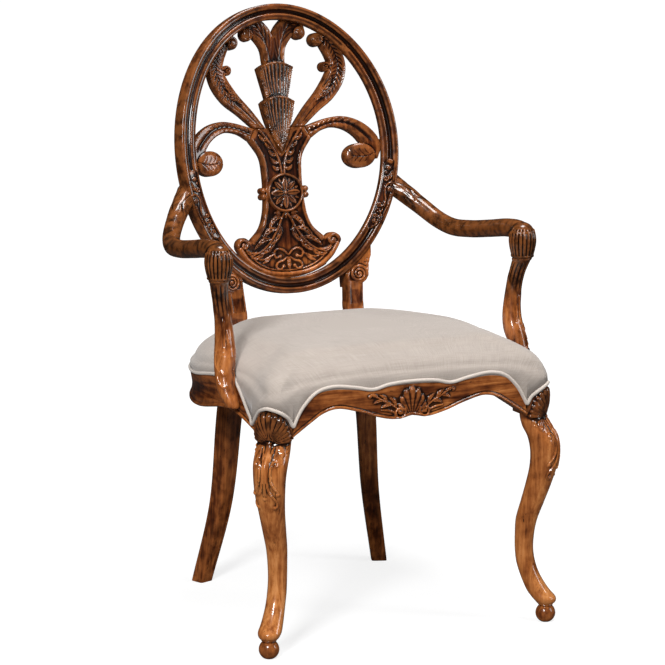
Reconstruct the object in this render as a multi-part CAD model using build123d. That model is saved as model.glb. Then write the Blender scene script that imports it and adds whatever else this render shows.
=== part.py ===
from build123d import *
from math import atan2, cos, degrees, radians, sin, sqrt
import os

# Back: a carved oval frame, bent about an upright axis in front of the chair
back_tilt = 10.0
back_centre_y = 543.5
back_centre_z = 795.5
back_bend_radius = 719.0
oval_half_width = 218.0
oval_half_height = 266.5
oval_side_width = 30.0
oval_end_width = 28.0
oval_depth = 30.0
oval_forward = 12.0
oval_rim_width = 8.0
oval_lip_width = 4.0
oval_groove_depth = 4.0
crest_joint_angle = 43.0
arm_joint_angle = 97.0
base_joint_angle = 150.0

# Splat: thickness behind the bent front surface, and relief in front of it
splat_setback = 2.0
splat_back = 18.0
sheaf_relief = 3.0
scroll_relief = 6.0
medallion_radius = 34.0
medallion_height = -86.0
medallion_relief = 7.0
clasp_radius = 6.0
clasp_pitch = 11.0
clasp_u = 42.0
bell_volute_u = 90.0
bell_volute_w = -179.0
bell_volute_radius = 15.0
leaf_u = 151.0
leaf_w = -26.0
leaf_half_width = 30.0
leaf_half_height = 23.0
knob_radius = 13.0
curl_radius = 9.5
plume_knob_radius = 12.5
splat_tenon_width = 70.0
splat_tenon_length = 14.0
splat_tenon_thickness = 8.0

# Seat frame in plan: straight front, flared sides and rounded rear corners
seat_front_y = -2.0
seat_half_front = 258.0
seat_half_wide = 277.2
seat_wide_y = 225.0
seat_corner_radius = 300.0
seat_corner_turn = 57.0
rail_face = 12.0
rail_core = 22.0
rail_top = 432.0
rear_rail_bottom = 386.0
rear_rail_setback = 6.0
rear_rail_inset = 4.0
rail_spare = 10.0

# Front rail: heights of the scalloped lower edge and of the welt line above it
front_edge_centre = 394.0
front_edge_dip_x = 41.0
front_edge_dip = 388.0
front_edge_arch_x = 142.0
front_edge_arch = 419.0
front_edge_leg = 376.0
front_welt_centre = 453.0
front_welt_dip_x = 73.0
front_welt_dip = 445.5
front_welt_hump_x = 138.0
front_welt_hump = 456.0
front_welt_leg = 395.0

# Side rail: the same two lines, by distance from the front
side_edge_front = 374.0
side_edge_arch_y = 145.0
side_edge_arch = 400.0
side_edge_low_y = 290.0
side_edge_low = 382.0
side_edge_rear = 388.0
side_welt_leg_y = 66.0
side_welt_leg = 395.0
side_welt_support_y = 130.0
side_welt_support = 452.0
side_welt_behind_y = 200.0
side_welt_behind = 451.0
side_welt_wide_y = 298.0
side_welt_wide = 437.0
side_welt_rear = 430.0

# Front legs: cabriole bowed out along the corner's diagonal, up to the rounded knee.
# Each station is height, inset of the centre from the foot, depth along the diagonal, and width.
foot_x = 265.5
foot_y = 0.0
ball_radius = 17.5
ball_height = 32.0
leg_stations = (
    (ball_height, 0.5, 26.0, 26.0),
    (38.0, 0.5, 37.0, 36.0),
    (45.0, 4.0, 43.0, 40.0),
    (54.0, 12.0, 42.0, 38.0),
    (65.0, 19.5, 39.0, 36.0),
    (85.0, 30.0, 35.0, 33.5),
    (106.0, 37.3, 33.5, 33.0),
    (130.0, 40.6, 32.5, 32.5),
    (160.0, 39.8, 34.5, 34.0),
    (183.0, 36.7, 38.0, 36.0),
    (216.0, 26.2, 41.5, 40.0),
    (249.0, 15.7, 45.0, 44.5),
    (282.0, 7.3, 48.0, 48.5),
    (310.0, 5.7, 51.0, 52.0),
    (334.0, 10.5, 53.0, 55.0),
    (352.0, 20.5, 52.0, 55.0),
    (369.0, 27.5, 47.0, 54.0),
    (388.0, 25.5, 50.0, 57.0),
    (406.0, 24.5, 46.0, 53.0),
    (418.0, 23.5, 36.0, 42.0),
    (426.0, 23.0, 18.0, 22.0),
)
leg_block_inner_x = 220.0
leg_block_outer_x = 259.0
leg_block_rear_y = 45.6
leg_block_bottom = 374.0

# Rear legs: sabre below the seat, leaning post above it, ending in a volute
rear_foot_x = 182.0
rear_foot_y = 502.0
rear_foot_width = 29.0
rear_mid_height = 150.0
rear_mid_x = 152.0
rear_mid_y = 480.0
rear_knee_height = 300.0
rear_knee_x = 139.0
rear_knee_y = 472.0
rear_knee_width = 37.0
rear_edge_radius = 5.0
rear_rail_x = 128.0
rear_rail_y = 474.0
rear_leg_turn = 21.0
post_base_height = 490.0
post_base_x = 117.5
post_base_y = 481.0
post_top_height = 545.0
post_top_x = 120.5
post_top_y = 491.0
post_width = 33.0
post_depth = 30.0
post_volute_u = 125.5
post_volute_w = -241.0
post_volute_radius = 18.5
post_volute_front = 9.0
post_tail = (152.0, -205.0)
volute_root_drop = 4.0

# Arms: stations of the centre line from the oval to the knuckle, and half thickness
arm_stations = (
    (195.0, 514.0, 731.0, 19.0),
    (220.0, 488.0, 706.0, 17.5),
    (246.0, 458.0, 680.0, 16.5),
    (265.0, 428.0, 659.0, 16.0),
    (277.0, 392.0, 649.0, 16.0),
    (285.0, 335.0, 652.0, 16.0),
    (289.0, 265.0, 662.0, 16.0),
    (290.0, 200.0, 672.0, 16.5),
    (290.5, 150.0, 674.0, 17.0),
)
knuckle_x = 291.0
knuckle_y = 147.0
knuckle_profile = ((626.0, 17.5), (642.0, 21.5), (660.0, 23.5), (677.0, 20.0), (688.0, 12.0))

# Arm supports: stations from the knuckle down to the foot lapped on the side rail
support_stations = (
    (291.0, 147.0, 626.0, 16.0, 17.0),
    (285.0, 157.0, 595.0, 14.0, 14.5),
    (279.5, 159.0, 560.0, 14.5, 15.0),
    (277.0, 157.0, 520.0, 17.0, 18.0),
    (279.0, 151.0, 495.0, 18.5, 21.0),
    (284.0, 144.0, 470.0, 17.0, 19.0),
    (284.0, 133.0, 440.0, 16.5, 17.0),
    (281.0, 122.0, 418.0, 14.5, 15.5),
    (278.5, 113.0, 404.0, 11.0, 12.5),
)

# Joinery and fasteners
glue_gap = 0.1
soft_gap = 0.3
hole_stretch = 10.0
tenon_thickness = 10.0
tenon_height = 30.0
tenon_length = 18.0
tenon_lift = 5.0
side_tenon_length = 14.0
rear_tenon_apart = 9.0
rear_tenon_root = 6.0
dowel_radius = 4.0
dowel_length = 34.0
knuckle_dowel_length = 20.0
arm_dowel_w = -88.0
arm_dowel_pitch = 14.0
arm_dowel_depth = 8.0
post_pin_u = 131.0
post_dowel_radius = 3.0
post_dowel_length = 22.0
splat_dowel_radius = 2.5
splat_dowel_length = 16.0
plume_pin_u = 30.0
inner_pin_u = 120.0
foot_pin_way = (0.6, 0.8)
foot_dowel_radius = 5.0
foot_dowel_length = 24.0
block_across = 52.0
block_along = 85.0
rear_block_across = 110.0
rear_block_along = 65.0
block_height = 24.0
block_top = 430.0
screw_radius = 2.0
screw_head_radius = 4.0
screw_head_height = 2.5
screw_sinking = 26.0
block_screw_length = 34.0
support_screw_length = 44.0
support_screw_places = ((233.0, 118.0, 411.0), (234.0, 127.0, 424.0))
block_overrun = 5.0
rear_block_reach = 60.0
front_screw_steps = ((32.0, 25.5), (20.0, 45.0))
rear_screw_steps = ((-1.0, 13.0), (33.0, 33.0))

# Upholstery
cushion_corner = 34.0
cushion_bottom = 386.0
cushion_levels = (
    (0.0, 9.0),
    (56.0, 0.0),
    (86.0, 7.0),
    (106.0, 32.0),
    (118.0, 92.0),
    (124.0, 170.0),
)
cover_thickness = 2.0
welt_size = 8.0
notch_height = 60.0
post_notch_spare = 3.0
webbing_width = 50.0
webbing_thickness = 1.5
webbing_pitch = 78.0
webbing_count = 5
dust_cover_thickness = 1.5

solids = {}
far = 900.0


def both(name, right):
    """Keep a right-hand piece and its mirror image."""
    solids[name + "_right"] = right
    solids[name + "_left"] = mirror(right, about=Plane.YZ)


def pair(right):
    """A right-hand solid and its mirror image, as a list."""
    return [right, mirror(right, about=Plane.YZ)]


def closed(*edges):
    """Face bounded by edges that meet end to end."""
    return make_face(Wire(edges))


# Back frame
back_plane = Plane(
    origin=(0, back_centre_y, back_centre_z),
    x_dir=(1, 0, 0),
    z_dir=(0, -cos(radians(back_tilt)), sin(radians(back_tilt))),
)
oval_inner_width = oval_half_width - oval_side_width
oval_inner_height = oval_half_height - oval_end_width
prism_reach = 120.0


def back_prism(sketch):
    """A flat outline of the back, carried through its whole thickness."""
    return extrude(back_plane.offset(-prism_reach) * sketch, 2 * prism_reach)


def bent_slab(front, back):
    """The bent layer from front millimetres before the back's front surface to back behind it."""
    outer = Cylinder(back_bend_radius + back, far)
    inner = Cylinder(back_bend_radius - front, far)
    return back_plane * Pos(0, 0, back_bend_radius) * Rot(90, 0, 0) * (outer - inner)


def bend_height(u):
    """Distance of the bent front surface before the back plane."""
    return back_bend_radius - sqrt(back_bend_radius**2 - u**2)


def back_point(u, w, depth):
    """Point of the back, depth behind its front surface."""
    return back_plane.from_local_coords(Vector(u, w, bend_height(u) - depth))


def oval_point(angle, depth):
    """Middle of the oval's width at an angle from the top, depth behind the front."""
    u = (oval_half_width + oval_inner_width) / 2 * sin(radians(angle))
    w = (oval_half_height + oval_inner_height) / 2 * cos(radians(angle))
    return back_point(u, w, depth)


def rod(start, end, radius):
    """Round pin between two points."""
    axis = end - start
    return Plane(origin=start, z_dir=axis) * Cylinder(
        radius, axis.length, align=(Align.CENTER, Align.CENTER, Align.MIN)
    )


def pin_about(middle, direction, radius, length):
    """Round pin centred on a point."""
    step = direction.normalized() * (length / 2)
    return rod(middle - step, middle + step, radius)


def sector(start, end):
    """Wedge of the back between two angles from the top, clockwise from the front."""
    turns = [start + (end - start) * i / 4 for i in range(5)]
    rim = [(far * sin(radians(a)), far * cos(radians(a))) for a in turns]
    return back_prism(make_face(Polyline((0, 0), *rim, close=True)))


def flat_angle(angle):
    """Plane angle of the oval's point that has this parameter angle."""
    sideways = oval_half_width * sin(radians(angle))
    upwards = oval_half_height * cos(radians(angle))
    return degrees(atan2(sideways, upwards)) % 360


outer_oval = Ellipse(oval_half_width, oval_half_height)
inner_oval = Ellipse(oval_inner_width, oval_inner_height)
groove = Ellipse(oval_half_width - oval_rim_width, oval_half_height - oval_rim_width) - Ellipse(
    oval_inner_width + oval_lip_width, oval_inner_height + oval_lip_width
)
oval_back = oval_depth - oval_forward
oval_middle = oval_depth / 2 - oval_forward
oval = back_prism(outer_oval - inner_oval) & bent_slab(oval_forward, oval_back)
oval -= back_prism(groove) & bent_slab(oval_forward + oval_groove_depth, oval_groove_depth - oval_forward)

joint_angles = [crest_joint_angle, arm_joint_angle, base_joint_angle]
joint_angles += [360 - angle for angle in reversed(joint_angles)]
oval_dowels = []
for angle in joint_angles:
    ahead = oval_point(angle + 1, oval_middle)
    behind = oval_point(angle - 1, oval_middle)
    middle = oval_point(angle, oval_middle)
    oval_dowels.append((middle, ahead - behind))
oval_hole_length = dowel_length + hole_stretch * glue_gap
oval_holes = [pin_about(m, d, dowel_radius + glue_gap, oval_hole_length) for m, d in oval_dowels]
solids["oval_dowels"] = [pin_about(m, d, dowel_radius, dowel_length) for m, d in oval_dowels]

# Splat outlines in the flat of the back, right-hand half or whole
sheaf_tip = (0.0, -13.0)
cup_foot = (21.0, 34.0)
cup_corner = (33.0, 80.0)
cup_crown = (0.0, 93.0)
upper_cup_foot = (21.0, 84.0)
upper_cup_corner = (35.5, 144.0)
upper_cup_crown = (0.0, 156.0)
plume_foot = (22.0, 148.0)
plume_valley = (0.0, 207.0)
plume_knob = (52.5, 207.0)
inner_root = (50.0, 34.0)
inner_foot = (27.0, 34.0)
inner_knob = (85.0, 193.0)
inner_curl = (98.5, 142.5)
outer_root = (62.0, 12.0)


def flipped(point):
    """The mirror image of a point of the flat back."""
    return (-point[0], point[1])


def whole(half):
    """A right-hand outline joined with its mirror image."""
    return half + mirror(half, about=Plane.YZ)


cup_edge = [sheaf_tip, (13.0, 12.0), cup_foot, (28.0, 57.0), cup_corner]
lower_cup = closed(
    Spline(*cup_edge),
    ThreePointArc(cup_corner, cup_crown, flipped(cup_corner)),
    Spline(*[flipped(p) for p in reversed(cup_edge)]),
)
upper_cup = closed(
    Line(upper_cup_foot, upper_cup_corner),
    ThreePointArc(upper_cup_corner, upper_cup_crown, flipped(upper_cup_corner)),
    Line(flipped(upper_cup_corner), flipped(upper_cup_foot)),
    Line(flipped(upper_cup_foot), upper_cup_foot),
)
plume = closed(
    Line((0.0, plume_foot[1]), plume_foot),
    Spline(plume_foot, (26.0, 180.0), (42.0, 203.0)),
    Spline((42.0, 203.0), (58.0, 219.0), (46.0, 236.0), (26.0, 238.0), (9.0, 222.0), plume_valley),
    Line(plume_valley, (0.0, plume_foot[1])),
)
plume += Pos(*plume_knob) * Circle(plume_knob_radius)
sheaf = (lower_cup + upper_cup + whole(plume)) & inner_oval

inner_scroll = closed(
    Spline(
        inner_root, (80, 60), (110, 83), (131, 112), (138, 140), (132, 171), (116, 196), (97, 207)
    ),
    Line((97, 207), (93, 181)),
    Spline((93, 181), (103, 160), (106.5, 145), (99, 127), (81, 100), (53, 68), inner_foot),
    Line(inner_foot, inner_root),
)
inner_scroll += Pos(*inner_knob) * Circle(knob_radius)
inner_scroll += Pos(*inner_curl) * Circle(curl_radius)
inner_scroll = (inner_scroll & inner_oval) - sheaf

outer_scroll = closed(
    Spline(inner_root, (95, 47), (121, 49.5), (147, 43), (170, 28), (187, 6), (193, -14), (184, -34)),
    Line((184, -34), (160, -8)),
    Spline((160, -8), (146, 11), (128, 24), (107, 29.5), (83, 25), outer_root),
    Line(outer_root, inner_root),
)
outer_scroll += Pos(leaf_u, leaf_w) * Ellipse(leaf_half_width, leaf_half_height)
outer_scroll &= inner_oval

bell_corner = (75.0, -171.0)
bell_tip = (105.0, -183.0)
bell_rim = (74.0, -222.0)
column = closed(
    Line((0, -oval_half_height), (bell_rim[0], -oval_half_height)),
    Line((bell_rim[0], -oval_half_height), bell_rim),
    Spline(bell_rim, (91, -206), bell_tip),
    Line(bell_tip, bell_corner),
    Spline(bell_corner, (53, -149), (43, -124), (38.5, -90), (38, -50), (42, -19), outer_root),
    Line(outer_root, inner_root),
    Line(inner_root, (0, inner_root[1])),
    Line((0, inner_root[1]), (0, -oval_half_height)),
)
column += Pos(bell_volute_u, bell_volute_w) * Circle(bell_volute_radius)
for bead in (-1, 1):
    place = Pos(clasp_u, medallion_height + bead * clasp_pitch / 2)
    column += place * Circle(clasp_radius)
panel = (whole(column) & inner_oval) - sheaf

tenon_depth = (splat_setback + splat_back - splat_tenon_thickness) / 2


def splat_tenon(gap):
    """Tenon under the panel, grown by a gap for its mortise in the oval."""
    reach = splat_tenon_length + gap
    outline = Pos(0, -oval_inner_height) * Rectangle(splat_tenon_width + 2 * gap, 2 * reach)
    layer = bent_slab(gap - tenon_depth, tenon_depth + splat_tenon_thickness + gap)
    return back_prism(outline) & layer


def back_pin(u, w, du, dw, radius, length):
    """Pin in the middle of the splat's thickness, along a direction of the flat back."""
    middle_depth = (splat_setback + splat_back) / 2
    ahead = back_point(u + du, w + dw, middle_depth)
    behind = back_point(u - du, w - dw, middle_depth)
    return pin_about(back_point(u, w, middle_depth), ahead - behind, radius, length)


def oval_edge(u):
    """Height of the oval's inner edge above the middle at a distance from the centre line."""
    return oval_inner_height * sqrt(1 - (u / oval_inner_width) ** 2)


def oval_normal(u, w):
    """Direction square to the oval at one of its points, in the flat of the back."""
    way = Vector(u / oval_half_width**2, w / oval_half_height**2).normalized()
    return (way.X, way.Y)


plume_pin = (plume_pin_u, oval_edge(plume_pin_u))
inner_pin = (inner_pin_u, oval_edge(inner_pin_u))
outer_pin = (oval_inner_width, 0.0)
root_pin = ((inner_root[0] + outer_root[0]) / 2, (inner_root[1] + outer_root[1]) / 2)
root_way = (inner_root[1] - outer_root[1], outer_root[0] - inner_root[0])
foot_pin = ((inner_foot[0] + inner_root[0]) / 2, inner_root[1])
splat_pin_places = (
    plume_pin + oval_normal(*plume_pin),
    inner_pin + oval_normal(*inner_pin),
    outer_pin + oval_normal(*outer_pin),
    root_pin + root_way,
    foot_pin + foot_pin_way,
)


def splat_pins(gap):
    """Both sides' splat dowels, grown by a gap for their holes."""
    pins = []
    for place in splat_pin_places:
        pin = back_pin(*place, splat_dowel_radius + gap, splat_dowel_length + hole_stretch * gap)
        pins += pair(pin)
    return pins


solids["splat_dowels"] = splat_pins(0)
splat_holes = splat_pins(glue_gap)
scroll_layer = bent_slab(0, splat_back)
panel_layer = bent_slab(-splat_setback, splat_back)
solids["splat_panel"] = ((back_prism(panel) & panel_layer) + splat_tenon(0)) - splat_holes
solids["center_sheaf"] = (back_prism(sheaf) & bent_slab(sheaf_relief, splat_back)) - splat_holes
both("inner_scroll", (back_prism(inner_scroll) & scroll_layer) - splat_holes)
both("outer_scroll", (back_prism(outer_scroll) & bent_slab(scroll_relief, splat_back)) - splat_holes)

# Rosette medallion, pinned to the panel's face
disc = Pos(0, medallion_height) * Circle(medallion_radius)
boss = Pos(0, medallion_height) * Circle(dowel_radius)
boss_layer = bent_slab(0, splat_setback + splat_dowel_length / 2)
solids["splat_medallion"] = back_prism(disc) & bent_slab(medallion_relief, splat_setback)
solids["splat_medallion"] += back_prism(boss) & boss_layer
boss_hole = Pos(0, medallion_height) * Circle(dowel_radius + glue_gap)
hole_layer = bent_slab(0, splat_setback + splat_dowel_length / 2 + glue_gap)
solids["splat_panel"] -= back_prism(boss_hole) & hole_layer

# Rear legs
rear_middle_width = (rear_foot_width + rear_knee_width) / 2
rear_rail_height = (rear_knee_height + post_base_height) / 2
rear_stations = (
    (rear_foot_x, rear_foot_y, 0.0, rear_foot_width, rear_foot_width, rear_leg_turn),
    (rear_mid_x, rear_mid_y, rear_mid_height, rear_middle_width, rear_middle_width, rear_leg_turn),
    (rear_knee_x, rear_knee_y, rear_knee_height, rear_knee_width, rear_knee_width, rear_leg_turn),
    (rear_rail_x, rear_rail_y, rear_rail_height, rear_knee_width, rear_knee_width, rear_leg_turn / 2),
    (post_base_x, post_base_y, post_base_height, post_width, post_depth, 0.0),
    (post_top_x, post_top_y, post_top_height, post_width, post_depth, 0.0),
)


def rear_leg_form(gap):
    """Leg and post below the volute, grown by a gap."""
    sections = []
    for x, y, z, width, depth, turn in rear_stations:
        outline = RectangleRounded(width + 2 * gap, depth + 2 * gap, rear_edge_radius)
        sections.append(Pos(x, y, z) * Rot(0, 0, -turn) * outline)
    return loft(sections)


volute_bottom = post_volute_w - post_volute_radius
volute_inner_u = post_top_x - post_width / 2
volute_root = (volute_inner_u, volute_bottom - volute_root_drop)
volute = closed(
    Line(volute_root, (post_volute_u, volute_bottom)),
    ThreePointArc(
        (post_volute_u, volute_bottom),
        (post_volute_u + post_volute_radius * cos(radians(45)),
         post_volute_w - post_volute_radius * sin(radians(45))),
        (post_volute_u + post_volute_radius, post_volute_w),
    ),
    Spline((post_volute_u + post_volute_radius, post_volute_w), (146.0, -222.0), post_tail),
    Line(post_tail, (volute_inner_u, post_tail[1])),
    Line((volute_inner_u, post_tail[1]), volute_root),
)
volute_layer = bent_slab(post_volute_front, post_depth - post_volute_front)
oval_body = back_prism(outer_oval)
rear_leg = (rear_leg_form(0) + (back_prism(volute - outer_oval) & volute_layer)) - oval_body


def post_pin(gap):
    """Dowel from the right-hand post's volute up into the oval, grown by a gap for its hole."""
    w = -oval_half_height * sqrt(1 - (post_pin_u / oval_half_width) ** 2)
    step_u, step_w = oval_normal(post_pin_u, w)
    ahead = back_point(post_pin_u + step_u, w + step_w, oval_middle)
    behind = back_point(post_pin_u - step_u, w - step_w, oval_middle)
    middle = back_point(post_pin_u, w, oval_middle)
    length = post_dowel_length + hole_stretch * gap
    return pin_about(middle, ahead - behind, post_dowel_radius + gap, length)


# Front legs with their turned feet
diagonal = Vector(1, -1, 0).normalized()


def front_leg_form(gap):
    """Cabriole leg up to the rounded knee, grown by a gap."""
    sections = []
    for height, inset, deep, wide in leg_stations:
        centre = Vector(foot_x, foot_y, height) - diagonal * inset
        plane = Plane(origin=centre, x_dir=diagonal, z_dir=(0, 0, 1))
        sections.append(plane * Ellipse(deep / 2 + gap, wide / 2 + gap))
    return loft(sections)


def span(low, high):
    """Box between two corners."""
    size = [b - a for a, b in zip(low, high)]
    return Pos(*low) * Box(*size, align=(Align.MIN, Align.MIN, Align.MIN))


leg_block = span(
    (leg_block_inner_x, seat_front_y, leg_block_bottom),
    (leg_block_outer_x, leg_block_rear_y, rail_top),
)
foot_centre = Vector(foot_x, foot_y, 0)
foot_pin_bottom = ball_height - foot_dowel_length / 2
foot_pin_top = ball_height + foot_dowel_length / 2
ball_centre = ball_height / 2
ball_pole = sqrt(ball_radius**2 - ball_centre**2)
ball_profile = closed(
    Line((0, 0), (ball_pole, 0)),
    ThreePointArc((ball_pole, 0), (ball_radius, ball_centre), (ball_pole, ball_height)),
    Line((ball_pole, ball_height), (0, ball_height)),
    Line((0, ball_height), (0, 0)),
)
foot_ball = Pos(foot_x, foot_y, 0) * revolve(Plane.XZ * ball_profile, Axis.Z)
foot_ball += rod(
    foot_centre + Vector(0, 0, ball_height),
    foot_centre + Vector(0, 0, foot_pin_top),
    foot_dowel_radius,
)
foot_hole = rod(
    foot_centre + Vector(0, 0, foot_pin_bottom),
    foot_centre + Vector(0, 0, foot_pin_top + glue_gap),
    foot_dowel_radius + glue_gap,
)
both("foot_ball", foot_ball)
front_leg = (front_leg_form(0) + leg_block) - foot_hole

# Seat plan
side_line = Line((seat_half_front, seat_front_y), (seat_half_wide, seat_wide_y))
corner_arc = JernArc(side_line @ 1, side_line % 1, seat_corner_radius, seat_corner_turn)
seat_rear_y = (corner_arc @ 1).Y
half_plan = closed(
    Line((0, seat_front_y), side_line @ 0),
    side_line,
    corner_arc,
    Line(corner_arc @ 1, (0, seat_rear_y)),
    Line((0, seat_rear_y), (0, seat_front_y)),
)
seat_plan = whole(half_plan)
core_plan = offset(seat_plan, -rail_face)
well_plan = offset(seat_plan, -rail_face - rail_core)


def upright(sketch, low, high):
    """Vertical prism between two heights."""
    return extrude(Pos(0, 0, low) * sketch, high - low)


rail_low = min(front_edge_leg, side_edge_front) - rail_spare
rail_high = front_welt_hump + rail_spare
face_ring = upright(seat_plan - core_plan, rail_low, rail_high)
core_ring = upright(core_plan - well_plan, rail_low, rail_top)

# Elevations of the front rail: everything above the lower edge, and everything below the welt
front_edge_points = [
    (0, front_edge_centre),
    (front_edge_dip_x, front_edge_dip),
    (front_edge_arch_x, front_edge_arch),
    (leg_block_inner_x, front_edge_leg),
]
front_welt_points = [
    (0, front_welt_centre),
    (front_welt_dip_x, front_welt_dip),
    (front_welt_hump_x, front_welt_hump),
    (leg_block_inner_x, front_welt_leg),
]


def front_line(points, lift):
    """Smooth line of the front rail, level at the centre, raised by a lift."""
    right = [(x, z + lift) for x, z in points]
    left = [(-x, z) for x, z in reversed(right[1:])]
    return Spline(*left, *right)


def below_front(points, lift, floor):
    """Face in elevation from a floor up to a line of the front rail."""
    line = front_line(points, lift)
    return closed(
        line,
        Line(line @ 1, ((line @ 1).X, floor)),
        Line(((line @ 1).X, floor), ((line @ 0).X, floor)),
        Line(((line @ 0).X, floor), line @ 0),
    )


def across(sketch, front, rear):
    """Prism of a front elevation between two distances from the front."""
    return extrude(Plane.XZ.offset(-rear) * sketch, rear - front)


core_front_y = seat_front_y + rail_face
rail_back_y = core_front_y + rail_core
front_face = across(below_front(front_welt_points, 0, rail_low), seat_front_y, core_front_y)
front_core = span(
    (-leg_block_inner_x, core_front_y, rail_low), (leg_block_inner_x, rail_back_y, rail_top)
)
front_below = across(
    below_front(front_edge_points, 0, rail_low - rail_spare),
    seat_front_y - rail_spare,
    rail_back_y + rail_spare,
)
front_rail = (front_face + front_core) - front_below


def tenon(x_low, x_high, y_low, y_high, z_middle, gap):
    """Upright tenon, grown by a gap for its mortise."""
    half = tenon_height / 2
    return span(
        (x_low - gap, y_low - gap, z_middle - half - gap),
        (x_high + gap, y_high + gap, z_middle + half + gap),
    )


front_tenon_y = core_front_y + (rail_core - tenon_thickness) / 2
front_tenon_z = (front_edge_leg + rail_top) / 2 + tenon_lift


def front_tenon(gap):
    """Tenon of the front rail in the front leg's block."""
    return tenon(
        leg_block_inner_x, leg_block_inner_x + tenon_length,
        front_tenon_y, front_tenon_y + tenon_thickness, front_tenon_z, gap,
    )


solids["front_rail"] = front_rail + pair(front_tenon(0))

# Elevations of the side rail, as distance from the front and height
side_edge_points = [
    (leg_block_rear_y, side_edge_front),
    (side_edge_arch_y, side_edge_arch),
    (side_edge_low_y, side_edge_low),
    (seat_rear_y, side_edge_rear),
]
side_welt_points = [
    (leg_block_rear_y, side_welt_leg),
    (side_welt_leg_y, side_welt_leg),
    (side_welt_support_y, side_welt_support),
    (side_welt_behind_y, side_welt_behind),
    (side_welt_wide_y, side_welt_wide),
    (seat_rear_y, side_welt_rear),
]


def below_side(points, lift, floor):
    """Prism under a line of the side rail, on the right-hand side of the chair."""
    line = Spline(*[(y, z + lift) for y, z in points])
    face = closed(
        line,
        Line(line @ 1, ((line @ 1).X, floor)),
        Line(((line @ 1).X, floor), ((line @ 0).X, floor)),
        Line(((line @ 0).X, floor), line @ 0),
    )
    return extrude(Plane.YZ * face, far)


rear_well_y = seat_rear_y - rail_face - rail_core
rail_middle_z = (side_edge_front + rail_top) / 2 + tenon_lift
side_reach = span((rear_knee_x, leg_block_rear_y, rail_low), (far, seat_rear_y + rail_spare, rail_high))
side_face = face_ring & below_side(side_welt_points, 0, rail_low)
side_rail = ((side_face + core_ring) & side_reach) - below_side(side_edge_points, 0, rail_low - rail_spare)
side_rail -= rear_leg_form(0)
side_tenon_x = leg_block_outer_x - rail_face - rail_core / 2 - tenon_thickness / 2
rear_rail_front_y = rear_well_y + rear_rail_setback
rear_rail_back_y = seat_rear_y - rear_rail_inset
rear_tenon_y = (rear_rail_front_y + rear_rail_back_y - tenon_thickness) / 2


def side_front_tenon(gap):
    """Tenon of the side rail in the front leg's block."""
    return tenon(
        side_tenon_x, side_tenon_x + tenon_thickness,
        leg_block_rear_y - side_tenon_length, leg_block_rear_y, rail_middle_z, gap,
    )


def side_rear_tenon(gap):
    """Tenon of the side rail in the rear leg, reaching in from its outer face."""
    return tenon(
        rear_rail_x + rear_tenon_apart / 2, rear_rail_x + rear_knee_width / 2 + rear_tenon_root,
        rear_tenon_y, rear_tenon_y + tenon_thickness, rail_middle_z, gap,
    )


def rear_tenon(gap):
    """Tenon of the rear rail in the rear leg, reaching in from its inner face."""
    return tenon(
        rear_rail_x - rear_knee_width / 2 - rear_tenon_root, rear_rail_x - rear_tenon_apart / 2,
        rear_tenon_y, rear_tenon_y + tenon_thickness, rail_middle_z, gap,
    )


side_rail += [side_front_tenon(0), side_rear_tenon(0)]
rear_rail = span(
    (-rear_rail_x, rear_rail_front_y, rear_rail_bottom), (rear_rail_x, rear_rail_back_y, rail_top)
)
rear_rail = rear_rail - pair(rear_leg_form(0)) + pair(rear_tenon(0))
front_leg -= [front_tenon(glue_gap), side_front_tenon(glue_gap)]
rear_leg -= [side_rear_tenon(glue_gap), rear_tenon(glue_gap)]

# Arms and their supports


def along(stations):
    """Planes across a run of stations, square to the line through them."""
    points = [Vector(*station[:3]) for station in stations]
    run = Spline(*points)
    return [Plane(origin=run @ t, z_dir=run % t) for t in [run.param_at_point(p) for p in points]]


arm_planes = along(arm_stations)
arm_run = loft([plane * Circle(station[3]) for plane, station in zip(arm_planes, arm_stations)])
knuckle = loft([Pos(knuckle_x, knuckle_y, z) * Circle(radius) for z, radius in knuckle_profile])
arm = (arm_run + knuckle) - oval_body
joint_z = knuckle_profile[0][0]


def support_form(gap):
    """Arm support from the knuckle to its foot, grown by a gap."""
    sections = []
    for x, y, z, half_x, half_y in support_stations:
        sections.append(Pos(x, y, z) * Ellipse(half_x + gap, half_y + gap))
    return loft(sections)


support = support_form(0) - upright(seat_plan, rail_low, side_welt_support + welt_size)


def arm_pins(gap):
    """Dowels of one arm: two into the oval, one into the support."""
    pins = []
    for w in (arm_dowel_w - arm_dowel_pitch / 2, arm_dowel_w + arm_dowel_pitch / 2):
        u = oval_half_width * sqrt(1 - (w / oval_half_height) ** 2)
        ahead = back_point(u + 1, w, arm_dowel_depth)
        behind = back_point(u - 1, w, arm_dowel_depth)
        middle = back_point(u, w, arm_dowel_depth)
        length = post_dowel_length + hole_stretch * gap
        pins.append(pin_about(middle, ahead - behind, post_dowel_radius + gap, length))
    middle = Vector(knuckle_x, knuckle_y, joint_z)
    length = knuckle_dowel_length + hole_stretch * gap
    pins.append(pin_about(middle, Vector(0, 0, 1), dowel_radius + gap, length))
    return pins


arm_holes = arm_pins(glue_gap)
arm -= arm_holes
support -= arm_holes
right_arm_dowels = Compound(children=arm_pins(0))
solids["arm_dowels"] = pair(right_arm_dowels)

# Screws that hold the corner blocks and the supports


def screw(start, direction, length, gap):
    """Round-head screw from under its head. With a gap it is the hole, open behind the sunk head."""
    step = direction.normalized()
    shank = rod(start, start + step * (length + gap), screw_radius + gap)
    behind = screw_head_height + (screw_sinking if gap else 0)
    head = rod(start - step * behind, start, screw_head_radius + gap)
    return shank + head


block_middle = block_top - block_height / 2
front_block_x = leg_block_outer_x - rail_face - rail_core + block_overrun
rear_block_x = rear_rail_x + rear_block_reach
forward = Vector(0, -1, 0)
rearward = Vector(0, 1, 0)
outward = Vector(1, 0, 0)
front_ways = (forward, outward)
rear_ways = (rearward, outward)


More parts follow.
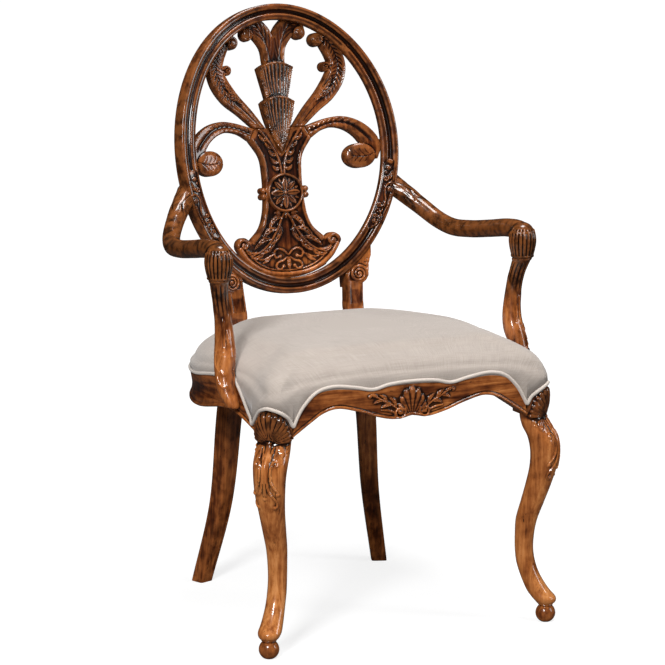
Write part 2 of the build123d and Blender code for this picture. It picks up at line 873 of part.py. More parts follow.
def block_screws(gap):
    """Screws of one side's corner blocks, grown by a gap for their holes."""
    screws = []
    for (x, y), way in zip(front_screw_steps, front_ways):
        start = Vector(front_block_x - x, rail_back_y + y, block_middle)
        screws.append(screw(start, way, block_screw_length, gap))
    for (x, y), way in zip(rear_screw_steps, rear_ways):
        start = Vector(rear_rail_x + x, rear_well_y - y, block_middle)
        screws.append(screw(start, way, block_screw_length, gap))
    return screws


def support_screws(gap):
    """Screws through one side rail into its arm support, grown by a gap for their holes."""
    return [screw(Vector(*place), outward, support_screw_length, gap) for place in support_screw_places]


front_block = upright(
    make_face(Polyline(
        (front_block_x - block_across, rail_back_y),
        (front_block_x, rail_back_y),
        (front_block_x, rail_back_y + block_along),
        close=True,
    )),
    block_top - block_height, block_top,
)
rear_block = upright(
    make_face(Polyline(
        (rear_block_x - rear_block_across, rear_rail_front_y),
        (rear_block_x, rear_rail_front_y),
        (rear_block_x, rear_rail_front_y - rear_block_along),
        close=True,
    )),
    block_top - block_height, block_top,
)
front_block = front_block - side_rail - front_leg
rear_block = (rear_block & upright(core_plan, rail_low, rail_top)) - side_rail - rear_leg - rear_rail
screw_holes = block_screws(glue_gap)
support_holes = support_screws(glue_gap)
front_block -= screw_holes
rear_block -= screw_holes
side_rail -= screw_holes + support_holes
support -= support_holes
rear_leg -= screw_holes
solids["front_rail"] -= [side for hole in screw_holes for side in pair(hole)]
solids["rear_rail"] = rear_rail
solids["corner_block_screws"] = [side for item in block_screws(0) for side in pair(item)]
solids["arm_support_screws"] = [side for item in support_screws(0) for side in pair(item)]
both("front_corner_block", front_block)
both("rear_corner_block", rear_block)
both("side_rail", side_rail)
both("front_leg", front_leg)
both("arm", arm)
both("arm_support", support)

# Dowels of the posts, and the oval cut into its six lengths
post_hole = post_pin(glue_gap)
solids["post_dowels"] = pair(post_pin(0))
rear_leg -= post_hole
both("rear_leg", rear_leg)
oval -= splat_holes
oval -= splat_tenon(glue_gap)
for hole in [post_hole] + arm_holes[:2]:
    oval -= pair(hole)
oval -= oval_holes
oval_names = (
    "oval_shoulder_right",
    "oval_flank_right",
    "oval_base",
    "oval_flank_left",
    "oval_shoulder_left",
    "oval_crest",
)
cuts = [flat_angle(angle) for angle in joint_angles]
cuts.append(cuts[0] + 360)
for index, name in enumerate(oval_names):
    solids[name] = oval & sector(cuts[index], cuts[index + 1])

# Webbing stretched over the rails, and the dust cover under it
strap_plan = offset(core_plan, -soft_gap)
posts_clear = pair(rear_leg_form(soft_gap))


def straps(outlines, low):
    """Bands of webbing lying at one height, kept inside the rails and off the posts."""
    bands = []
    for outline in outlines:
        bands.append(upright(outline & strap_plan, low, low + webbing_thickness) - posts_clear)
    return bands


seat_middle_y = (seat_front_y + seat_rear_y) / 2
strap_offsets = [(i - (webbing_count - 1) / 2) * webbing_pitch for i in range(webbing_count)]
lengthwise = [Pos(x, seat_middle_y) * Rectangle(webbing_width, far) for x in strap_offsets]
crosswise = [Pos(0, seat_middle_y + y) * Rectangle(far, webbing_width) for y in strap_offsets]
webbing_top = rail_top + 2 * webbing_thickness
solids["webbing_lengthwise"] = straps(lengthwise, rail_top)
solids["webbing_crosswise"] = straps(crosswise, rail_top + webbing_thickness)
leg_blocks_clear = pair(span(
    (leg_block_inner_x - soft_gap, seat_front_y - soft_gap, leg_block_bottom),
    (leg_block_outer_x + soft_gap, leg_block_rear_y + soft_gap, rail_top + soft_gap),
))
dust_cover = upright(offset(well_plan, -soft_gap), block_top, block_top + dust_cover_thickness)
solids["dust_cover"] = dust_cover - posts_clear - leg_blocks_clear

# Seat cushion: crowned top, sides drawn in below the fullest height


def level_outline(share):
    """Cushion outline in plan about the seat's middle, shrunk to a share of its size."""
    front_y = (seat_front_y - seat_middle_y) * share
    wide_y = (seat_wide_y - seat_middle_y) * share
    side = Line((seat_half_front * share, front_y), (seat_half_wide * share, wide_y))
    corner = JernArc(side @ 1, side % 1, seat_corner_radius * share, seat_corner_turn)
    rear_y = (corner @ 1).Y
    outline = whole(closed(
        Line((0, front_y), side @ 0),
        side,
        corner,
        Line(corner @ 1, (0, rear_y)),
        Line((0, rear_y), (0, front_y)),
    ))
    outline = fillet(outline.vertices().group_by(Axis.Y)[0], cushion_corner * share)
    return fillet(outline.vertices().group_by(Axis.Y)[-1], cushion_corner * share)


def cushion_form(shrink):
    """Loft of the cushion's level outlines, all drawn in by a shrink."""
    sections = []
    for rise, inset in cushion_levels:
        share = 1 - (inset + shrink) / seat_half_wide
        height = cushion_bottom + rise - shrink * (rise / cushion_levels[-1][0])
        sections.append(Pos(0, seat_middle_y, height) * level_outline(share))
    return loft(sections)


around_core = Rectangle(2 * far, 2 * far) - offset(core_plan, -soft_gap)
outside_core = upright(around_core, rail_low, rail_high + welt_size)
knee_stations = [station for station in leg_stations if station[0] > leg_block_bottom]
knee_widest = max(knee_stations, key=lambda station: station[3])
knee_middle = Vector(foot_x, foot_y, 0) - diagonal * knee_widest[1]
knee_crown = leg_stations[-1][0]
support_low = [station for station in support_stations if station[2] < rail_high + notch_height]
support_near_y = min(station[1] - station[4] for station in support_low)
support_far_y = max(station[1] + station[4] for station in support_low)
support_near_x = min(station[0] - station[3] for station in support_low)
post_inner_x = post_base_x - post_width / 2
post_front_y = rear_rail_y - rear_knee_width / 2


def cushion_cutters(gap):
    """Everything that the cushion is cut round, with a gap: rails, knees, supports and posts."""
    crown = cushion_bottom + cushion_levels[-1][0]
    front = across(below_front(front_welt_points, welt_size + gap, rail_low), -far, core_front_y + gap)
    side = below_side(side_welt_points, welt_size + gap, rail_low) & outside_core
    frame = upright(offset(core_plan, gap), rail_low, webbing_top + gap)
    knee_round = Pos(knee_middle.X, knee_middle.Y) * Circle(knee_widest[3] / 2 + gap)
    knee = upright(knee_round, rail_low, knee_crown + gap)
    support_notch = span(
        (support_near_x - gap, support_near_y - gap, rail_low), (far, support_far_y + gap, crown)
    )
    post_notch = span(
        (post_inner_x - gap, post_front_y - gap, rail_low),
        (rear_rail_x + rear_knee_width / 2 + post_notch_spare, far, crown + gap),
    )
    right = [side, knee, support_notch, post_notch]
    return [front, frame] + leg_blocks_clear + [each for item in right for each in pair(item)]


def cut_by(shape, cutters):
    """A shape less its cutters, one after another, keeping the main solid."""
    for cutter in cutters:
        shape = shape - cutter
    return max(shape.solids(), key=lambda solid: solid.volume)


cushion_inside = cushion_form(cover_thickness)
solids["seat_cover"] = cut_by(cushion_form(0) - cushion_inside, cushion_cutters(soft_gap))
solids["seat_foam"] = cut_by(cushion_form(cover_thickness + soft_gap), cushion_cutters(2 * soft_gap))

# Welt laid in the step between the cushion and the rails
welt_front = across(
    below_front(front_welt_points, welt_size, rail_low) - below_front(front_welt_points, 0, rail_low),
    seat_front_y - welt_size / 2, core_front_y - soft_gap,
)
welt_ring = upright(
    offset(seat_plan, welt_size / 4) - offset(core_plan, soft_gap), rail_low, rail_high + welt_size
)
welt_side = welt_ring & side_reach
welt_side &= below_side(side_welt_points, welt_size, rail_low) - below_side(side_welt_points, 0, rail_low)
welt_side = welt_side - support_form(soft_gap) - posts_clear
solids["seat_welt"] = [welt_front] + pair(welt_side)

# Origin under the middle of the chair's box


def pieces_of(item):
    """The separate solids of one node."""
    shapes = item if isinstance(item, list) else [item]
    return [solid for shape in shapes for solid in shape.solids()]


everything = Compound(children=[piece for item in solids.values() for piece in pieces_of(item)])
box = everything.bounding_box()
to_origin = Pos(0, -(box.min.Y + box.max.Y) / 2, -box.min.Z)
os.makedirs("parts", exist_ok=True)
for name, item in solids.items():
    placed = [to_origin * piece for piece in pieces_of(item)]
    node = placed[0] if len(placed) == 1 else Compound(children=placed)
    export_step(node, "parts/" + name + ".step")
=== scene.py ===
import math
import bmesh
import bpy
import numpy as np
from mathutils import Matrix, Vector
from mathutils.geometry import delaunay_2d_cdt


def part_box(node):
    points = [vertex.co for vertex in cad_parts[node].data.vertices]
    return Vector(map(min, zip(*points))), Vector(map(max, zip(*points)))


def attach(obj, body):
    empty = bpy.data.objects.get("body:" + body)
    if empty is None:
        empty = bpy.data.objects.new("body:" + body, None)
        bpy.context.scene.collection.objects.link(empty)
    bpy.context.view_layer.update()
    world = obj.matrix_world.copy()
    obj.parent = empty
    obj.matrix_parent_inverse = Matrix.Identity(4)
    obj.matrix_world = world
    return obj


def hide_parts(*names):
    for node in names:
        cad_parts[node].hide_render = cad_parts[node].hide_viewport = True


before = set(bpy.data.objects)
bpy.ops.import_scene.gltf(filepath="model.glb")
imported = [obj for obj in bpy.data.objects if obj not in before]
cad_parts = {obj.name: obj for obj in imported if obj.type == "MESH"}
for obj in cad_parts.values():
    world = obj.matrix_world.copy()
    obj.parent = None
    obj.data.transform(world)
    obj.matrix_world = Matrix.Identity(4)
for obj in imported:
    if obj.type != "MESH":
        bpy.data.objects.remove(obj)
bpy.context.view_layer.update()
scene = bpy.context.scene

# Shapes are drawn in millimetres, with y measured from the front feet
MM = 1000
FRONT_Y = 292.873


def metres(points):
    """Points in millimetres from the front feet, in the frame's metres."""
    return (np.asarray(points, float).reshape(-1, 3) - (0, FRONT_Y, 0)) / MM


def length_of(line):
    """Length along a line up to each of its points."""
    return np.concatenate([[0], np.cumsum(np.linalg.norm(np.diff(line, axis=0), axis=1))])


def even(line, step):
    """A line sampled again at even steps of its length."""
    run = length_of(line)
    at = np.linspace(0, run[-1], max(2, int(round(run[-1] / step)) + 1))
    return np.stack([np.interp(at, run, column) for column in line.T], 1)


def between(t, a, b, start, end):
    """Straight blend from a at start to b at end."""
    return a * (end - t) / (end - start) + b * (t - start) / (end - start)


def curve(points, step=1.5):
    """Smooth line through points, sampled at even steps."""
    p = np.array(points, float)
    p = np.vstack([2 * p[0] - p[1], p, 2 * p[-1] - p[-2]])
    knots = np.concatenate([[0], np.cumsum(np.linalg.norm(np.diff(p, axis=0), axis=1) ** 0.5)])
    runs = []
    for i in range(1, len(p) - 2):
        t = np.linspace(knots[i], knots[i + 1], 24, endpoint=False)[:, None]
        a = [between(t, p[i + k - 1], p[i + k], knots[i + k - 1], knots[i + k]) for k in range(3)]
        b = [between(t, a[k], a[k + 1], knots[i + k - 1], knots[i + k + 1]) for k in range(2)]
        runs.append(between(t, b[0], b[1], knots[i], knots[i + 1]))
    return even(np.vstack(runs + [p[-2:-1]]), step)


def smooth_points(points, step=2.0):
    """Smooth line through points, as a list."""
    return curve(points, step).tolist()


def near(q, line):
    """Share of the length, distance and side of flat points along a line."""
    best = np.full(len(q), 1e12)
    share = np.zeros(len(q))
    side = np.ones(len(q))
    legs = np.diff(line, axis=0)
    size = np.hypot(*legs.T) + 1e-9
    run = np.concatenate([[0], np.cumsum(size)])
    for a, d, s, r in zip(line, legs, size, run):
        x, y = q[:, 0] - a[0], q[:, 1] - a[1]
        t = np.clip((x * d[0] + y * d[1]) / (s * s), 0, 1)
        gap = (x - t * d[0]) ** 2 + (y - t * d[1]) ** 2
        hit = gap < best
        best[hit] = gap[hit]
        share[hit] = (r + t[hit] * s) / run[-1]
        side[hit] = np.sign(d[0] * y[hit] - d[1] * x[hit])
    return share, np.sqrt(best), side


def within(q, loop):
    """Which flat points lie inside a closed loop."""
    x, y = q.T
    inside = np.zeros(len(q), bool)
    for (x0, y0), (x1, y1) in zip(loop, np.roll(loop, -1, 0)):
        if y0 != y1:
            inside ^= ((y0 > y) != (y1 > y)) & (x < (x1 - x0) * (y - y0) / (y1 - y0) + x0)
    return inside


def rounded(d, radius):
    """Drop of a rounded edge at a distance in from it."""
    return np.sqrt(np.clip(radius**2 - (radius - np.clip(d, 0, radius)) ** 2, 0, None)) - radius


def ramp(x, start, end):
    """Smooth step from 0 at start to 1 at end."""
    t = np.clip((x - start) / (end - start), 0, 1)
    return t * t * (3 - 2 * t)


def dome(x):
    """Half circle of height 1 over -1 to 1."""
    return np.sqrt(np.clip(1 - x * x, 0, None))


def half_round(x, middle, half, high):
    """Half-round bead across a line."""
    return high * dome((x - middle) / half)


def hump(x, middle, half):
    """Soft bell of height 1 across a line."""
    return np.exp(-(((x - middle) / half) ** 2))


def circle(centre, radius, tall=None, count=60):
    """Closed loop of an ellipse."""
    a = np.linspace(0, 2 * math.pi, count, endpoint=False)
    return np.stack([centre[0] + radius * np.cos(a), centre[1] + (tall or radius) * np.sin(a)], 1)


def mirrored(points):
    """Points on the other side of the middle."""
    return [(-p[0],) + tuple(p[1:]) for p in points]


def folded(q):
    """Flat points brought to the right-hand side, for carving that is the same on both sides."""
    return np.stack([np.abs(q[:, 0]), q[:, 1]], 1)


class Relief:
    """Carving over the flat points of a face: strokes raised from a floor, and cuts."""

    def __init__(self, q, floor):
        self.q = q
        self.floor = np.broadcast_to(floor, len(q)).astype(float)
        self.h = self.floor.copy()

    def touch(self, line, reach):
        """Points within reach of a line, with their place along it."""
        low, high = line.min(0) - reach, line.max(0) + reach
        keep = np.flatnonzero(((self.q > low) & (self.q < high)).all(1))
        return (keep,) + near(self.q[keep], line)[:2]

    def lift(self, keep, rise):
        self.h[keep] = np.maximum(self.h[keep], self.floor[keep] + rise)

    def stroke(self, points, wide, high):
        """Rounded raised stroke; wide gives its half widths from end to end."""
        wide = np.atleast_1d(np.array(wide, float))
        keep, t, d = self.touch(curve(points), wide.max())
        w = np.interp(t, np.linspace(0, 1, len(wide)), wide) + 0.01
        self.lift(keep, high * dome(d / w))

    def cut(self, points, wide, deep):
        """Soft groove along a line."""
        keep, _, d = self.touch(curve(points), 3 * wide)
        self.h[keep] -= deep * hump(d, 0, wide)

    def leaf(self, points, wide, high, ribs=0):
        """Leaf with a middle vein, and ribs that run out to its edge."""
        keep, t, d = self.touch(curve(points), wide)
        x = d / (wide * np.sin(math.pi * np.clip(t, 0.01, 0.99) ** 0.8) ** 0.7)
        rib = 0.2 * np.cos(2 * math.pi * (ribs * t - 0.6 * x)) if ribs else 0
        self.lift(keep, np.where(x < 1, high * (dome(x) * (1 + rib) - 0.45 * hump(d, 0, 0.8)), 0))

    def knob(self, centre, radius, high):
        """Round boss."""
        d = np.hypot(*(self.q - centre).T) / radius
        self.lift(np.arange(len(d)), high * dome(d))

    def spiral(self, centre, radius, turns, start, hand, wide, high):
        """Raised spiral that winds in to its centre."""
        a = np.linspace(0, 2 * math.pi * turns, int(28 * turns))
        r = radius * (1 - 0.88 * a / a[-1])
        b = start + hand * a
        line = np.stack([centre[0] + r * np.cos(b), centre[1] + r * np.sin(b)], 1)
        keep, t, d = self.touch(line, wide)
        self.lift(keep, high * dome(d / (wide * (1 - 0.45 * t))))


# Meshes: carved slabs from loops, and tubes from rows of points
TRIANGLE_RISE = 0.866
CLEAR_OF_RIM = 0.55


def filled(loops, step):
    """Points and triangles that fill the outline round all of the loops."""
    points, edges = [], []
    for loop in loops:
        loop = even(np.vstack([loop, loop[:1]]), step)[:-1]
        first = len(points)
        points += loop.tolist()
        edges += [(first + i, first + (i + 1) % len(loop)) for i in range(len(loop))]
    rim = np.array(points)
    low, high = rim.min(0), rim.max(0)
    across = np.arange(low[0], high[0], step)
    rows = np.arange(low[1], high[1], step * TRIANGLE_RISE)
    grid = np.vstack([np.stack([across + (i % 2) * step / 2, 0 * across + y], 1) for i, y in enumerate(rows)])
    grid = grid[np.any([within(grid, loop) for loop in loops], 0)]
    clear = np.ones(len(grid), bool)
    for loop in loops:
        clear &= near(grid, np.vstack([loop, loop[:1]]))[1] > CLEAR_OF_RIM * step
    points += grid[clear].tolist()
    made = delaunay_2d_cdt([Vector(p) for p in points], edges, [], 1, 1e-5)
    q = np.array([(v.x, v.y) for v in made[0]])
    tris = np.array(made[2])
    used = np.unique(tris)
    number = np.full(len(q), -1)
    number[used] = np.arange(len(used))
    return q[used], number[tris]


def rim_of(tris):
    """Directed edges that have a triangle on one side only."""
    edges = np.vstack([tris[:, [0, 1]], tris[:, [1, 2]], tris[:, [2, 0]]])
    index, count = np.unique(np.sort(edges, 1), axis=0, return_inverse=True, return_counts=True)[1:]
    return edges[count[index.ravel()] == 1]


def from_rim(q, edges):
    """Distance of flat points from the rim."""
    best = np.full(len(q), 1e12)
    for a, b in zip(q[edges[:, 0]], q[edges[:, 1]]):
        d = b - a
        x, y = q[:, 0] - a[0], q[:, 1] - a[1]
        t = np.clip((x * d[0] + y * d[1]) / (d @ d), 0, 1)
        best = np.minimum(best, (x - t * d[0]) ** 2 + (y - t * d[1]) ** 2)
    return np.sqrt(best)


def slab(loops, step, carve, place, back, back_round=2.0):
    """A carved flat piece: its points, faces and grain coordinates."""
    q, tris = filled(loops, step)
    edges = rim_of(tris)
    d = from_rim(q, edges)
    front = place(q, carve(q, d))
    rear = place(q, -back - rounded(d, back_round) - back_round)
    n = len(q)
    sides = np.stack([edges[:, 1], edges[:, 0], edges[:, 0] + n, edges[:, 1] + n], 1)
    faces = tris.tolist() + (tris[:, ::-1] + n).tolist() + sides.tolist()
    grain = np.stack([q[:, 1], q[:, 0], 0 * d], 1)
    return np.vstack([front, rear]), faces, np.vstack([grain, grain - (0, 0, back)])


def ring(count, power=2.0):
    """Angles round a section, and its two unit coordinates, square-shouldered above power 2."""
    a = np.linspace(-math.pi, math.pi, count, endpoint=False)
    c, s = np.cos(a), np.sin(a)
    return a, np.sign(c) * np.abs(c) ** (2 / power), np.sign(s) * np.abs(s) ** (2 / power)


def skin(grid):
    """Points and faces of a closed tube from rows of points round it."""
    n, m = grid.shape[:2]
    i = np.arange(n - 1)[:, None] * m
    j = np.arange(m)
    k = (j + 1) % m
    quads = np.stack([i + j, i + k, i + m + k, i + m + j], -1).reshape(-1, 4).tolist()
    last = (n - 1) * m
    ends = [[n * m, b, a] for a, b in zip(j, k)]
    ends += [[n * m + 1, last + a, last + b] for a, b in zip(j, k)]
    return np.vstack([grid.reshape(-1, 3), grid[0].mean(0), grid[-1].mean(0)]), quads + ends


def joined(*parts):
    """Several sets of points and faces as one."""
    points, faces = [], []
    for p, f in parts:
        first = sum(len(x) for x in points)
        points.append(np.asarray(p))
        faces += [[v + first for v in face] for face in f]
    return np.vstack(points), faces


def read_points(mesh, what="co"):
    """Places or normals of a mesh's points."""
    values = np.empty(3 * len(mesh.vertices))
    mesh.vertices.foreach_get(what, values)
    return values.reshape(-1, 3)


def mesh_object(name, points, faces, outward=True):
    """A linked object from points in metres, with its faces turned outward where asked."""
    mesh = bpy.data.meshes.new(name)
    mesh.from_pydata(points.tolist(), [], faces)
    if outward:
        shape = bmesh.new()
        shape.from_mesh(mesh)
        bmesh.ops.recalc_face_normals(shape, faces=shape.faces)
        shape.to_mesh(mesh)
        shape.free()
    obj = bpy.data.objects.new(name, mesh)
    scene.collection.objects.link(obj)
    return obj


def evaluated(obj):
    return obj.evaluated_get(bpy.context.evaluated_depsgraph_get())


def hollows(mesh):
    """How far each point lies below the smoothed surface round it, in millimetres."""
    co, normal = read_points(mesh) * MM, read_points(mesh, "normal")
    n = len(co)
    ends = np.empty(2 * len(mesh.edges), int)
    mesh.edges.foreach_get("vertices", ends)
    a, b = np.concatenate([ends[::2], ends[1::2]]), np.concatenate([ends[1::2], ends[::2]])
    count = np.maximum(np.bincount(a, minlength=n), 1)[:, None]
    smooth = co
    total = np.zeros(n)
    near_rounds, far_rounds = 8, 40
    for step in range(1, far_rounds + 1):
        mean = np.stack([np.bincount(a, smooth[b, k], n) for k in range(3)], 1) / count
        smooth = 0.4 * smooth + 0.6 * mean
        if step in (near_rounds, far_rounds):
            total += 0.5 * ((smooth - co) * normal).sum(1)
    return total


def along_grain(points, way):
    """Coordinates along and across a grain direction."""
    way = np.array(way, float) / np.linalg.norm(way)
    side = np.cross(way, (0.36, 0.48, 0.8))
    side /= np.linalg.norm(side)
    return points @ np.stack([way, side, np.cross(way, side)], 1)


def piece(name, points, faces, nodes, slot, look, flow, warm=0.5, sharp=40):
    """A mesh of the chair that stands for CAD nodes, with what its material reads."""
    obj = mesh_object(name, metres(points), faces)
    mesh = obj.data
    mesh.shade_smooth()
    if sharp:
        mesh.set_sharp_from_angle(angle=math.radians(sharp))
    n = len(mesh.vertices)
    if len(flow) != n:
        flow = along_grain(read_points(mesh) * MM, flow)
    for label, kind, field, values in (
        ("flow", "FLOAT_VECTOR", "vector", flow / MM),
        ("hollow", "FLOAT", "value", hollows(mesh)),
        ("warm", "FLOAT", "value", np.broadcast_to(warm, n)),
    ):
        layer = mesh.attributes.new(label, kind, "POINT")
        layer.data.foreach_set(field, values.astype(np.float32).ravel())
    mesh.materials.append(look)
    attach(obj, "root")
    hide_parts(*nodes)
    return obj


def carved(name, points, faces, flow=(0, 0, 1), warm=0.5, sharp=40):
    """A walnut piece that stands for the node of its own name."""
    piece(name, points, faces, [name], "walnut", walnut, flow, warm, sharp)


def both(name, points, faces, flow=(0, 0, 1), warm=0.5):
    """A right-hand walnut piece and its mirror image."""
    carved(name + "_right", points, faces, flow, warm)
    if len(flow) == len(points):
        flow = flow * (1, -1, 1)
    carved(name + "_left", points * (-1, 1, 1), faces, flow, warm)


# Materials
def linear(*rgb):
    """Colour from screen values of 0 to 255."""
    return tuple(((v / 255 + 0.055) / 1.055) ** 2.4 if v > 10 else v / 255 / 12.92 for v in rgb) + (1,)


class Nodes:
    """Short way to build the nodes of a material or a world."""

    def __init__(self, owner):
        owner.use_nodes = True
        self.owner = owner
        self.tree = owner.node_tree

    def new(self, kind, values=None, **settings):
        node = self.tree.nodes.new(kind)
        for key, value in settings.items():
            setattr(node, key, value)
        for key, value in (values or {}).items():
            self.put(node.inputs[key], value)
        return node

    def put(self, socket, value):
        if isinstance(value, bpy.types.NodeSocket):
            self.tree.links.new(value, socket)
        else:
            socket.default_value = value

    def math(self, kind, a, b=0.0):
        return self.new("ShaderNodeMath", {0: a, 1: b}, operation=kind).outputs[0]

    def add(self, a, b):
        return self.math("ADD", a, b)

    def times(self, a, b):
        return self.math("MULTIPLY", a, b)

    def swung(self, tone, value, amount):
        """Tone moved by how far a value lies from one half."""
        return self.add(tone, self.times(self.math("SUBTRACT", value, 0.5), amount))

    def span(self, value, low, high, start=0.0, end=1.0):
        values = {0: value, 1: low, 2: high, 3: start, 4: end}
        return self.new("ShaderNodeMapRange", values, interpolation_type="SMOOTHSTEP").outputs[0]

    def mix(self, share, a, b):
        return self.new("ShaderNodeMix", {0: share, 6: a, 7: b}, data_type="RGBA").outputs[2]

    def noise(self, vector, scale, detail=4.0, rough=0.55):
        values = {"Vector": vector, "Scale": scale, "Detail": detail, "Roughness": rough}
        return self.new("ShaderNodeTexNoise", values).outputs[0]

    def threads(self, vector, stretch, detail=4.0, rough=0.55):
        """Noise drawn out along the directions with a small stretch."""
        drawn = self.new("ShaderNodeVectorMath", {0: vector, 1: stretch}, operation="MULTIPLY").outputs[0]
        return self.noise(drawn, 1.0, detail, rough)

    def attribute(self, name, out=2):
        return self.new("ShaderNodeAttribute", attribute_name=name).outputs[out]

    def place(self):
        return self.new("ShaderNodeTexCoord").outputs["Object"]

    def bump(self, height, strength, distance):
        values = {"Height": height, "Strength": strength, "Distance": distance}
        return self.new("ShaderNodeBump", values).outputs[0]

    def paint(self, values):
        """The material, once its surface has these values."""
        for key, value in values.items():
            self.put(self.tree.nodes["Principled BSDF"].inputs[key], value)
        return self.owner


def walnut_look():
    """Dark walnut: glaze and painted shade in the hollows, worn golden high spots, black marks and a gloss
    coat.
    """
    n = Nodes(bpy.data.materials.new("walnut"))
    flow = n.attribute("flow", 1)
    hollow = n.attribute("hollow")
    place = n.place()
    grain = n.threads(flow, (7, 190, 190), 7.0, 0.62)
    blotch = n.noise(place, 16.0)
    patch = n.noise(place, 65.0)
    tone = n.add(n.times(grain, 0.55), n.times(blotch, 0.55))
    tone = n.swung(tone, n.attribute("warm"), 0.62)
    tone = n.swung(tone, n.threads(flow, (16, 75, 75), 4.0, 0.6), 0.42)
    tone = n.swung(tone, patch, 0.12)
    colours = n.new("ShaderNodeValToRGB", {0: tone})
    stops = colours.color_ramp.elements
    stops[0].position, stops[0].color = 0.22, linear(13, 5, 2)
    stops[1].position, stops[1].color = 0.90, linear(214, 146, 88)
    for at, rgb in ((0.38, (40, 15, 6)), (0.52, (80, 36, 13)), (0.66, (142, 79, 36)), (0.78, (188, 118, 62))):
        stops.new(at).color = linear(*rgb)
    worn = n.times(n.span(hollow, -0.02, -0.30), n.span(patch, 0.32, 0.62, 0.15, 1.0))
    colour = n.mix(n.times(worn, 0.42), colours.outputs[0], linear(178, 106, 54))
    # Painted shade: the hollows are darkened almost to black, partly real glaze and partly the shade that
    # falls in recesses.
    glaze_and_hollow_shade = n.span(hollow, 0.03, 0.42)
    colour = n.mix(n.times(glaze_and_hollow_shade, 0.90), colour, linear(14, 5, 3))
    marks = n.span(n.threads(flow, (45, 130, 130), 5.0, 0.7), 0.635, 0.68)
    specks = n.span(n.noise(place, 420.0, 2.0), 0.685, 0.745)
    spots = n.math("MAXIMUM", marks, specks)
    return n.paint({
        "Base Color": n.mix(n.times(spots, 0.8), colour, linear(18, 9, 6)),
        "Roughness": n.span(grain, 0.2, 0.8, 0.25, 0.38),
        "Specular IOR Level": 0.14,
        "Normal": n.bump(n.math("SUBTRACT", grain, spots), 0.12, 0.0006),
        "Coat Weight": 0.75,
        "Coat Roughness": 0.09,
    })


def beech_look():
    """Bare pale wood with its grain."""
    n = Nodes(bpy.data.materials.new("beech"))
    place = n.place()
    grain = n.threads(place, (60, 60, 300), 5.0)
    flecks = n.span(n.threads(place, (240, 240, 900), 2.0), 0.6, 0.7)
    colour = n.mix(grain, linear(176, 132, 88), linear(216, 178, 132))
    return n.paint({
        "Base Color": n.mix(n.times(flecks, 0.4), colour, linear(120, 80, 48)),
        "Roughness": 0.6,
        "Normal": n.bump(grain, 0.2, 0.0004),
    })


def cloth_look(name, dark, light, thread, streak):
    """Woven cloth: crossing threads with uneven thickness."""
    n = Nodes(bpy.data.materials.new(name))
    place = n.attribute("flow", 1)
    warp = n.threads(place, (1100, 30, 120), 2.0)
    weft = n.threads(place, (30, 1100, 300), 2.0)
    ways = n.new("ShaderNodeSeparateXYZ", {0: place}).outputs
    weave = n.times(*[n.math("SINE", n.times(ways[k], thread)) for k in range(2)])
    slub = n.times(n.add(warp, weft), 0.5)
    cloud = n.noise(place, 14.0, 3.0)
    share = n.add(n.times(slub, streak), n.times(cloud, 1 - streak))
    share = n.add(share, n.times(weave, 0.08))
    return n.paint({
        "Base Color": n.mix(n.span(share, 0.25, 0.75), linear(*dark), linear(*light)),
        "Roughness": 0.95,
        "Sheen Weight": 0.25,
        "Normal": n.bump(n.add(n.times(weave, 0.5), slub), 0.35, 0.0004),
    })


def steel_look():
    """Plain brushed screw steel."""
    n = Nodes(bpy.data.materials.new("steel"))
    scratch = n.threads(n.place(), (900, 900, 60), 3.0)
    return n.paint({
        "Base Color": n.mix(scratch, linear(150, 146, 140), linear(205, 202, 196)),
        "Metallic": 1.0,
        "Roughness": n.span(scratch, 0.2, 0.8, 0.3, 0.5),
    })


walnut = walnut_look()
beech = beech_look()
linen = cloth_look("linen", (147, 136, 127), (177, 166, 157), 5200.0, 0.85)
# Lighter copy of the seat linen for the welt: painted light that offsets the shade on the thin round cord.
welt_linen_painted_light = cloth_look("welt_linen_painted_light", (178, 167, 157), (206, 195, 185), 5200.0, 0.85)
jute = cloth_look("jute", (110, 80, 46), (160, 124, 78), 2600.0, 0.7)
black_cloth = cloth_look("black_cloth", (20, 20, 21), (44, 43, 42), 4200.0, 0.5)
steel = steel_look()

# Back: flat coordinates u across and w up, bent about an upright axis in front of it
TILT = math.radians(10)
BEND = 719.0
BACK_Y, BACK_Z = 543.5, 795.5


def on_back(q, h):
    """Points of the bent back, h before its front surface."""
    u, w = q[:, 0], q[:, 1]
    rise = BEND - np.sqrt((BEND - h) ** 2 - u * u)
    y = BACK_Y + w * math.sin(TILT) - rise * math.cos(TILT)
    z = BACK_Z + w * math.cos(TILT) + rise * math.sin(TILT)
    return np.stack([u, y, z], 1)


# Oval frame: a moulding swept round an ellipse that stands proud of the splat, carved on its lower sides
OVAL_U, OVAL_W, OVAL_MID = 215.2, 266.4, -5.5
SIDE_WIDTH, END_WIDTH = 30.0, 29.0
OVAL_FRONT, OVAL_BACK, BACK_ROUND = 17.0, -14.0, 11.0
OVAL_MEAN, OVAL_STEP, FACE_COUNT = 245, 1.4, 58


def below(u, half_u, half_w):
    """Height of the lower half of an ellipse about the oval's middle."""
    return OVAL_MID - half_w * math.sqrt(1 - (u / half_u) ** 2)


def oval_moulding(v):
    """Height of the moulding at a share of the width, 0 inside to 1 outside."""
    groove = -3.4 * np.sin(math.pi * np.clip((v - 0.36) / 0.30, 0, 1)) ** 0.9
    return -2.2 + half_round(v, 0.19, 0.19, 2.4) + groove + half_round(v, 0.81, 0.19, 2.8)


